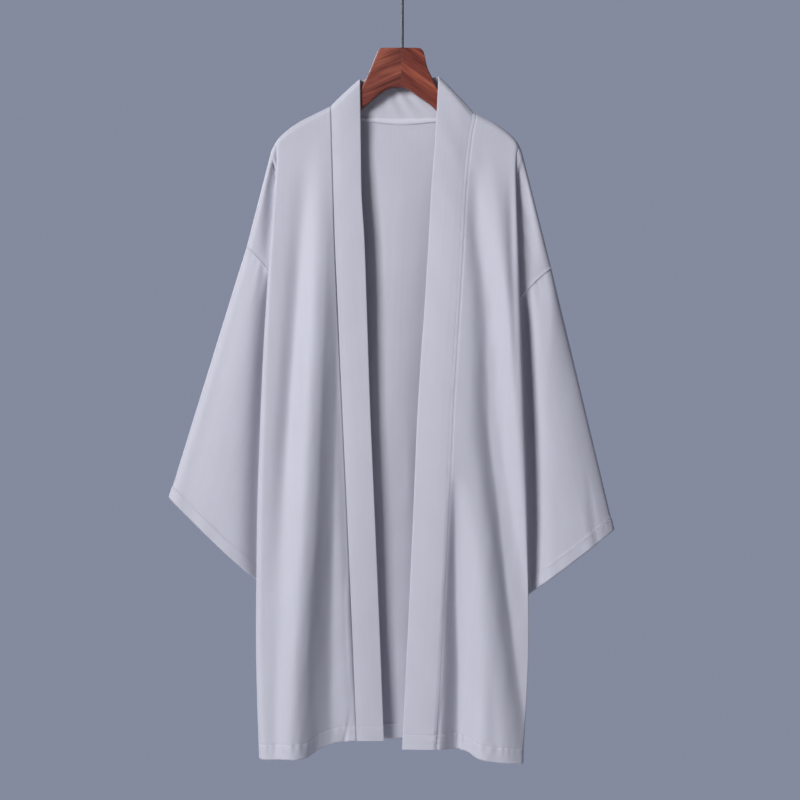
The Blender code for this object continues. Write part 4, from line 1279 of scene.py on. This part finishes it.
class Value:
    """A socket of a material, so that sums over the surface are written as plain maths."""

    def __init__(self, paint, socket):
        self.paint = paint
        self.socket = socket

    def __add__(self, other):
        return self.paint.maths("ADD", self, other)

    def __sub__(self, other):
        return self.paint.maths("SUBTRACT", self, other)

    def __mul__(self, other):
        return self.paint.maths("MULTIPLY", self, other)

    def __rsub__(self, other):
        return self.paint.maths("SUBTRACT", other, self)

    __radd__ = __add__
    __rmul__ = __mul__


class Nodes:
    """The nodes of one material or of the sky."""

    def __init__(self, tree):
        self.tree = tree

    def node(self, kind, inputs, output=0, stops=(), **settings):
        """Any node: its settings come first, then the values and links of its sockets."""
        node = self.tree.nodes.new("ShaderNode" + kind)
        for setting, value in settings.items():
            setattr(node, setting, value)
        for i, (place, colour) in enumerate(stops):
            stop = node.color_ramp.elements[i] if i < 2 else node.color_ramp.elements.new(place)
            stop.position = place
            stop.color = colour
        for socket, value in inputs.items():
            self.feed(node.inputs[socket], value)
        return Value(self, node.outputs[output])

    def feed(self, socket, value):
        if isinstance(value, Value):
            self.tree.links.new(value.socket, socket)
        else:
            socket.default_value = value

    def maths(self, operation, first, second):
        return self.node("Math", {0: first, 1: second}, operation=operation)

    def stretched(self, place, x, y, z):
        return self.node("VectorMath", {0: place, 1: (x, y, z)}, operation="MULTIPLY")

    def noise(self, place, scale, detail=2.0, roughness=0.5, distortion=0.0):
        inputs = dict(Vector=place, Scale=scale, Detail=detail, Roughness=roughness, Distortion=distortion)
        return self.node("TexNoise", inputs)

    def blend(self, share, first, second):
        """Two colours mixed: sockets 6 and 7 and output 2 of the node are its colours."""
        return self.node("Mix", {0: share, 6: first, 7: second}, output=2, data_type="RGBA")

    def bump(self, height, strength, distance):
        return self.node("Bump", dict(Height=height, Strength=strength, Distance=distance))


class Paint(Nodes):
    """One material: its principled surface and the nodes that feed it."""

    def __init__(self, name, **constants):
        self.material = bpy.data.materials.new(name)
        self.material.use_nodes = True
        super().__init__(self.material.node_tree)
        self.surface = self.tree.nodes["Principled BSDF"]
        for socket, value in constants.items():
            label = socket.replace("_", " ").title().replace("Ior", "IOR")
            self.surface.inputs[label].default_value = value

    def finish(self, **sockets):
        for socket, value in sockets.items():
            self.feed(self.surface.inputs[socket.replace("_", " ")], value)
        return self.material


def cloth_finish(name, colour, shade):
    """Fine crepe: slightly uneven threads both ways, a soft bloom on its surface."""
    paint = Paint(name, sheen_weight=0.06, sheen_roughness=0.45)
    place = paint.node("UVMap", {}, uv_map="cut")
    crepe = paint.noise(place, CREPE_GRAIN, detail=3, roughness=0.62)
    warp = paint.noise(paint.stretched(place, *WARP_GRAIN), 1)
    weft = paint.noise(paint.stretched(place, *WEFT_GRAIN), 1)
    slub = paint.noise(paint.stretched(place, *SLUB_GRAIN), 1, detail=3)
    clouding = paint.noise(place, CLOUD_GRAIN, detail=3)
    share = warp * 0.2 + weft * 0.15 + slub * 0.45 + clouding * 0.5 - 0.15
    weave = crepe * 0.5 + warp * 0.28 + weft * 0.22
    return paint.finish(
        Base_Color=paint.blend(share, colour, shade),
        Roughness=0.52 + crepe * 0.16,
        Normal=paint.bump(weave, strength=0.32, distance=0.00035),
    )


def wood_finish(name, dark, middle, light, turn):
    """Stained hardwood under a satin varnish, its grain turned to run along the arm."""
    paint = Paint(name, coat_weight=0.20, coat_roughness=0.28, specular_ior_level=0.3)
    place = paint.node("TexCoord", {}, output="Object")
    along = paint.node("VectorRotate", dict(Vector=place, Angle=math.radians(turn)), rotation_type="Y_AXIS")
    figure = paint.noise(paint.stretched(along, *FIGURE_GRAIN), 1, detail=3, distortion=0.7)
    fibre = paint.noise(paint.stretched(along, *FIBRE_GRAIN), 1, detail=2)
    pores = paint.noise(paint.stretched(along, *PORE_GRAIN), 1, detail=1)
    share = figure * 0.68 + fibre * 0.32
    ramp = paint.node("ValToRGB", dict(Fac=share), stops=((0.34, dark), (0.66, light), (0.50, middle)))
    return paint.finish(
        Base_Color=ramp,
        Roughness=0.34 + fibre * 0.18,
        Normal=paint.bump(fibre * 0.6 + pores * 0.4, strength=0.18, distance=0.0003),
    )


def plain_finish(name, colour, roughness, **constants):
    paint = Paint(name, **constants)
    return paint.finish(Base_Color=colour, Roughness=roughness)


CLOTH_FINISH = cloth_finish("grey crepe", (0.521, 0.512, 0.588, 1), (0.606, 0.612, 0.709, 1))
BAND_FINISH = cloth_finish("grey band crepe", (0.529, 0.520, 0.596, 1), (0.609, 0.612, 0.707, 1))
TAPE_FINISH = cloth_finish("light seam tape", (0.640, 0.640, 0.730, 1), (0.720, 0.725, 0.820, 1))
DARK_WOOD = wood_finish(
    "dark wood",
    dark=(0.078, 0.015, 0.011, 1),
    middle=(0.205, 0.047, 0.032, 1),
    light=(0.390, 0.112, 0.066, 1),
    turn=22,
)
LIGHT_WOOD = wood_finish(
    "light wood",
    dark=(0.082, 0.013, 0.010, 1),
    middle=(0.220, 0.045, 0.028, 1),
    light=(0.440, 0.115, 0.064, 1),
    turn=-36,
)
WIRE_FINISH = plain_finish("black wire", (0.010, 0.010, 0.011, 1), 0.36, coat_weight=0.15)
THREAD_FINISH = plain_finish("grey thread", (0.780, 0.780, 0.850, 1), 0.6)
FLOOR_FINISH = plain_finish("pale floor", (0.620, 0.630, 0.660, 1), 0.85)

right, left = Half(RIGHT), Half(LEFT)
rows = panel_rows()

# Hanger
for half, wood, slot in ((right, DARK_WOOD, "dark_wood"), (left, LIGHT_WOOD, "light_wood")):
    name = half.cut.name
    board = board_mesh("hanger_" + name, half)
    add_piece("hanger_" + name, board, wood, ["hanger_half_" + name])
add_piece("hook_wire", hook_curve(), WIRE_FINISH, ["hanger_hook"])

# Panels, each with its own sewing
back = dress_back(right, left, rows)
front_right = dress_front(right, rows)
front_left = dress_front(left, rows)
sleeve_right = dress_sleeve(right)
sleeve_left = dress_sleeve(left)

inner_hem = back.sewing(HEM_TURN_UP - INNER_STITCH_DROP, side=-1)
topstitching = front_left.topstitching(TOPSTITCH_OUT)

Panel = namedtuple("Panel", "name cloth turn_up ring flat area more_runs")
PANELS = (
    Panel("back", back, HEM_TURN_UP, False, (0.68, 0.90), 0.60, [inner_hem]),
    Panel("front_right", front_right, HEM_TURN_UP, False, (0.244, 0.90), None, []),
    Panel("front_left", front_left, HEM_TURN_UP, False, (0.244, 0.90), None, [topstitching]),
    Panel("sleeve_right", sleeve_right, CUFF_TURN_UP, True, (0.54, 0.37), 0.185, []),
    Panel("sleeve_left", sleeve_left, CUFF_TURN_UP, True, (0.54, 0.37), 0.185, []),
)
for panel in PANELS:
    piece = add_cloth(panel.name, panel.cloth, panel.turn_up, CLOTH_FINISH, panel.ring)
    threads = stitch_mesh(panel.name, [panel.cloth.sewing(panel.turn_up), *panel.more_runs])
    sewing = add_piece(panel.name + "_stitches", threads, THREAD_FINISH)

# Band, with the tape over its seam at the back of the neck
grid, cut = band_grid(right, left, rows)
band_mesh = panel_mesh("neck_band", grid, cut, ring=True, capped=True)
band = add_piece("neck_band_cloth", band_mesh, BAND_FINISH, ["neck_band"])
threads = stitch_mesh("neck_band", band_sewing(grid, cut))
band_stitches = add_piece("neck_band_stitches", threads, THREAD_FINISH)
grid = tape_grid(right, left)
tape = add_piece("neck_tape", panel_mesh("neck_tape", grid, grid[..., ::2]), TAPE_FINISH)
thicken(tape, TAPE_CLOTH)
forward = np.broadcast_to(FORWARD, grid[-2].shape)
threads = stitch_mesh("neck_tape", [(grid[-2] + forward * TAPE_THREAD_LIFT, forward)])
tape_stitches = add_piece("neck_tape_stitches", threads, THREAD_FINISH)

# Floor, light and camera
floor_mesh = bpy.data.meshes.new("floor")
turns = np.linspace(0, 2 * math.pi, FLOOR_CORNERS, endpoint=False)
rim = points_of(FLOOR_REACH * np.cos(turns), FLOOR_REACH * np.sin(turns), FLOOR_Z)
floor_mesh.from_pydata(rim.tolist(), [], [range(FLOOR_CORNERS)])
floor_mesh.materials.append(FLOOR_FINISH)
floor = bpy.data.objects.new("floor", floor_mesh)
bpy.context.scene.collection.objects.link(floor)


def add_light(name, place, size, watts, aim):
    data = bpy.data.lights.new(name, "AREA")
    data.size = size
    data.energy = watts
    lamp = bpy.data.objects.new(name, data)
    lamp.location = place
    lamp.rotation_euler = (Vector(aim) - Vector(place)).to_track_quat("-Z", "Y").to_euler()
    lamp.visible_camera = False
    bpy.context.scene.collection.objects.link(lamp)


add_light("key", place=(-3.28, -3.92, 1.51), size=1.9, watts=276, aim=(0, 0, -0.6))
add_light("fill", place=(1.6, -2.9, -0.4), size=2.0, watts=3, aim=(0, 0, -0.65))
add_light("behind", place=(-3.0, 4.5, 1.4), size=2.4, watts=140, aim=(0, 0, -0.6))

world = bpy.data.worlds.new("studio")
world.use_nodes = True
sky = Nodes(world.node_tree)
away = sky.node("SeparateXYZ", dict(Vector=sky.node("TexCoord", {}, output="Generated")), output="Y")
share = sky.node("MapRange", {0: away, 1: SKY_TURN[0], 2: SKY_TURN[1]}, interpolation_type="SMOOTHSTEP")
background = world.node_tree.nodes["Background"]
sky.feed(background.inputs["Color"], sky.blend(share, SKY_BEFORE, SKY_BEHIND))
bpy.context.scene.world = world
bpy.context.scene.view_settings.view_transform = "Standard"

camera_data = bpy.data.cameras.new("camera")
camera_data.angle = 2 * math.atan(FRAME_WIDTH / 2 / (CAMERA_DISTANCE - FRONT_DEPTH))
camera = bpy.data.objects.new("camera", camera_data)
camera.location = (CAMERA_X, -CAMERA_DISTANCE, CAMERA_Z)
camera.rotation_euler = (math.radians(90), 0, 0)
bpy.context.scene.collection.objects.link(camera)
bpy.context.scene.camera = camera
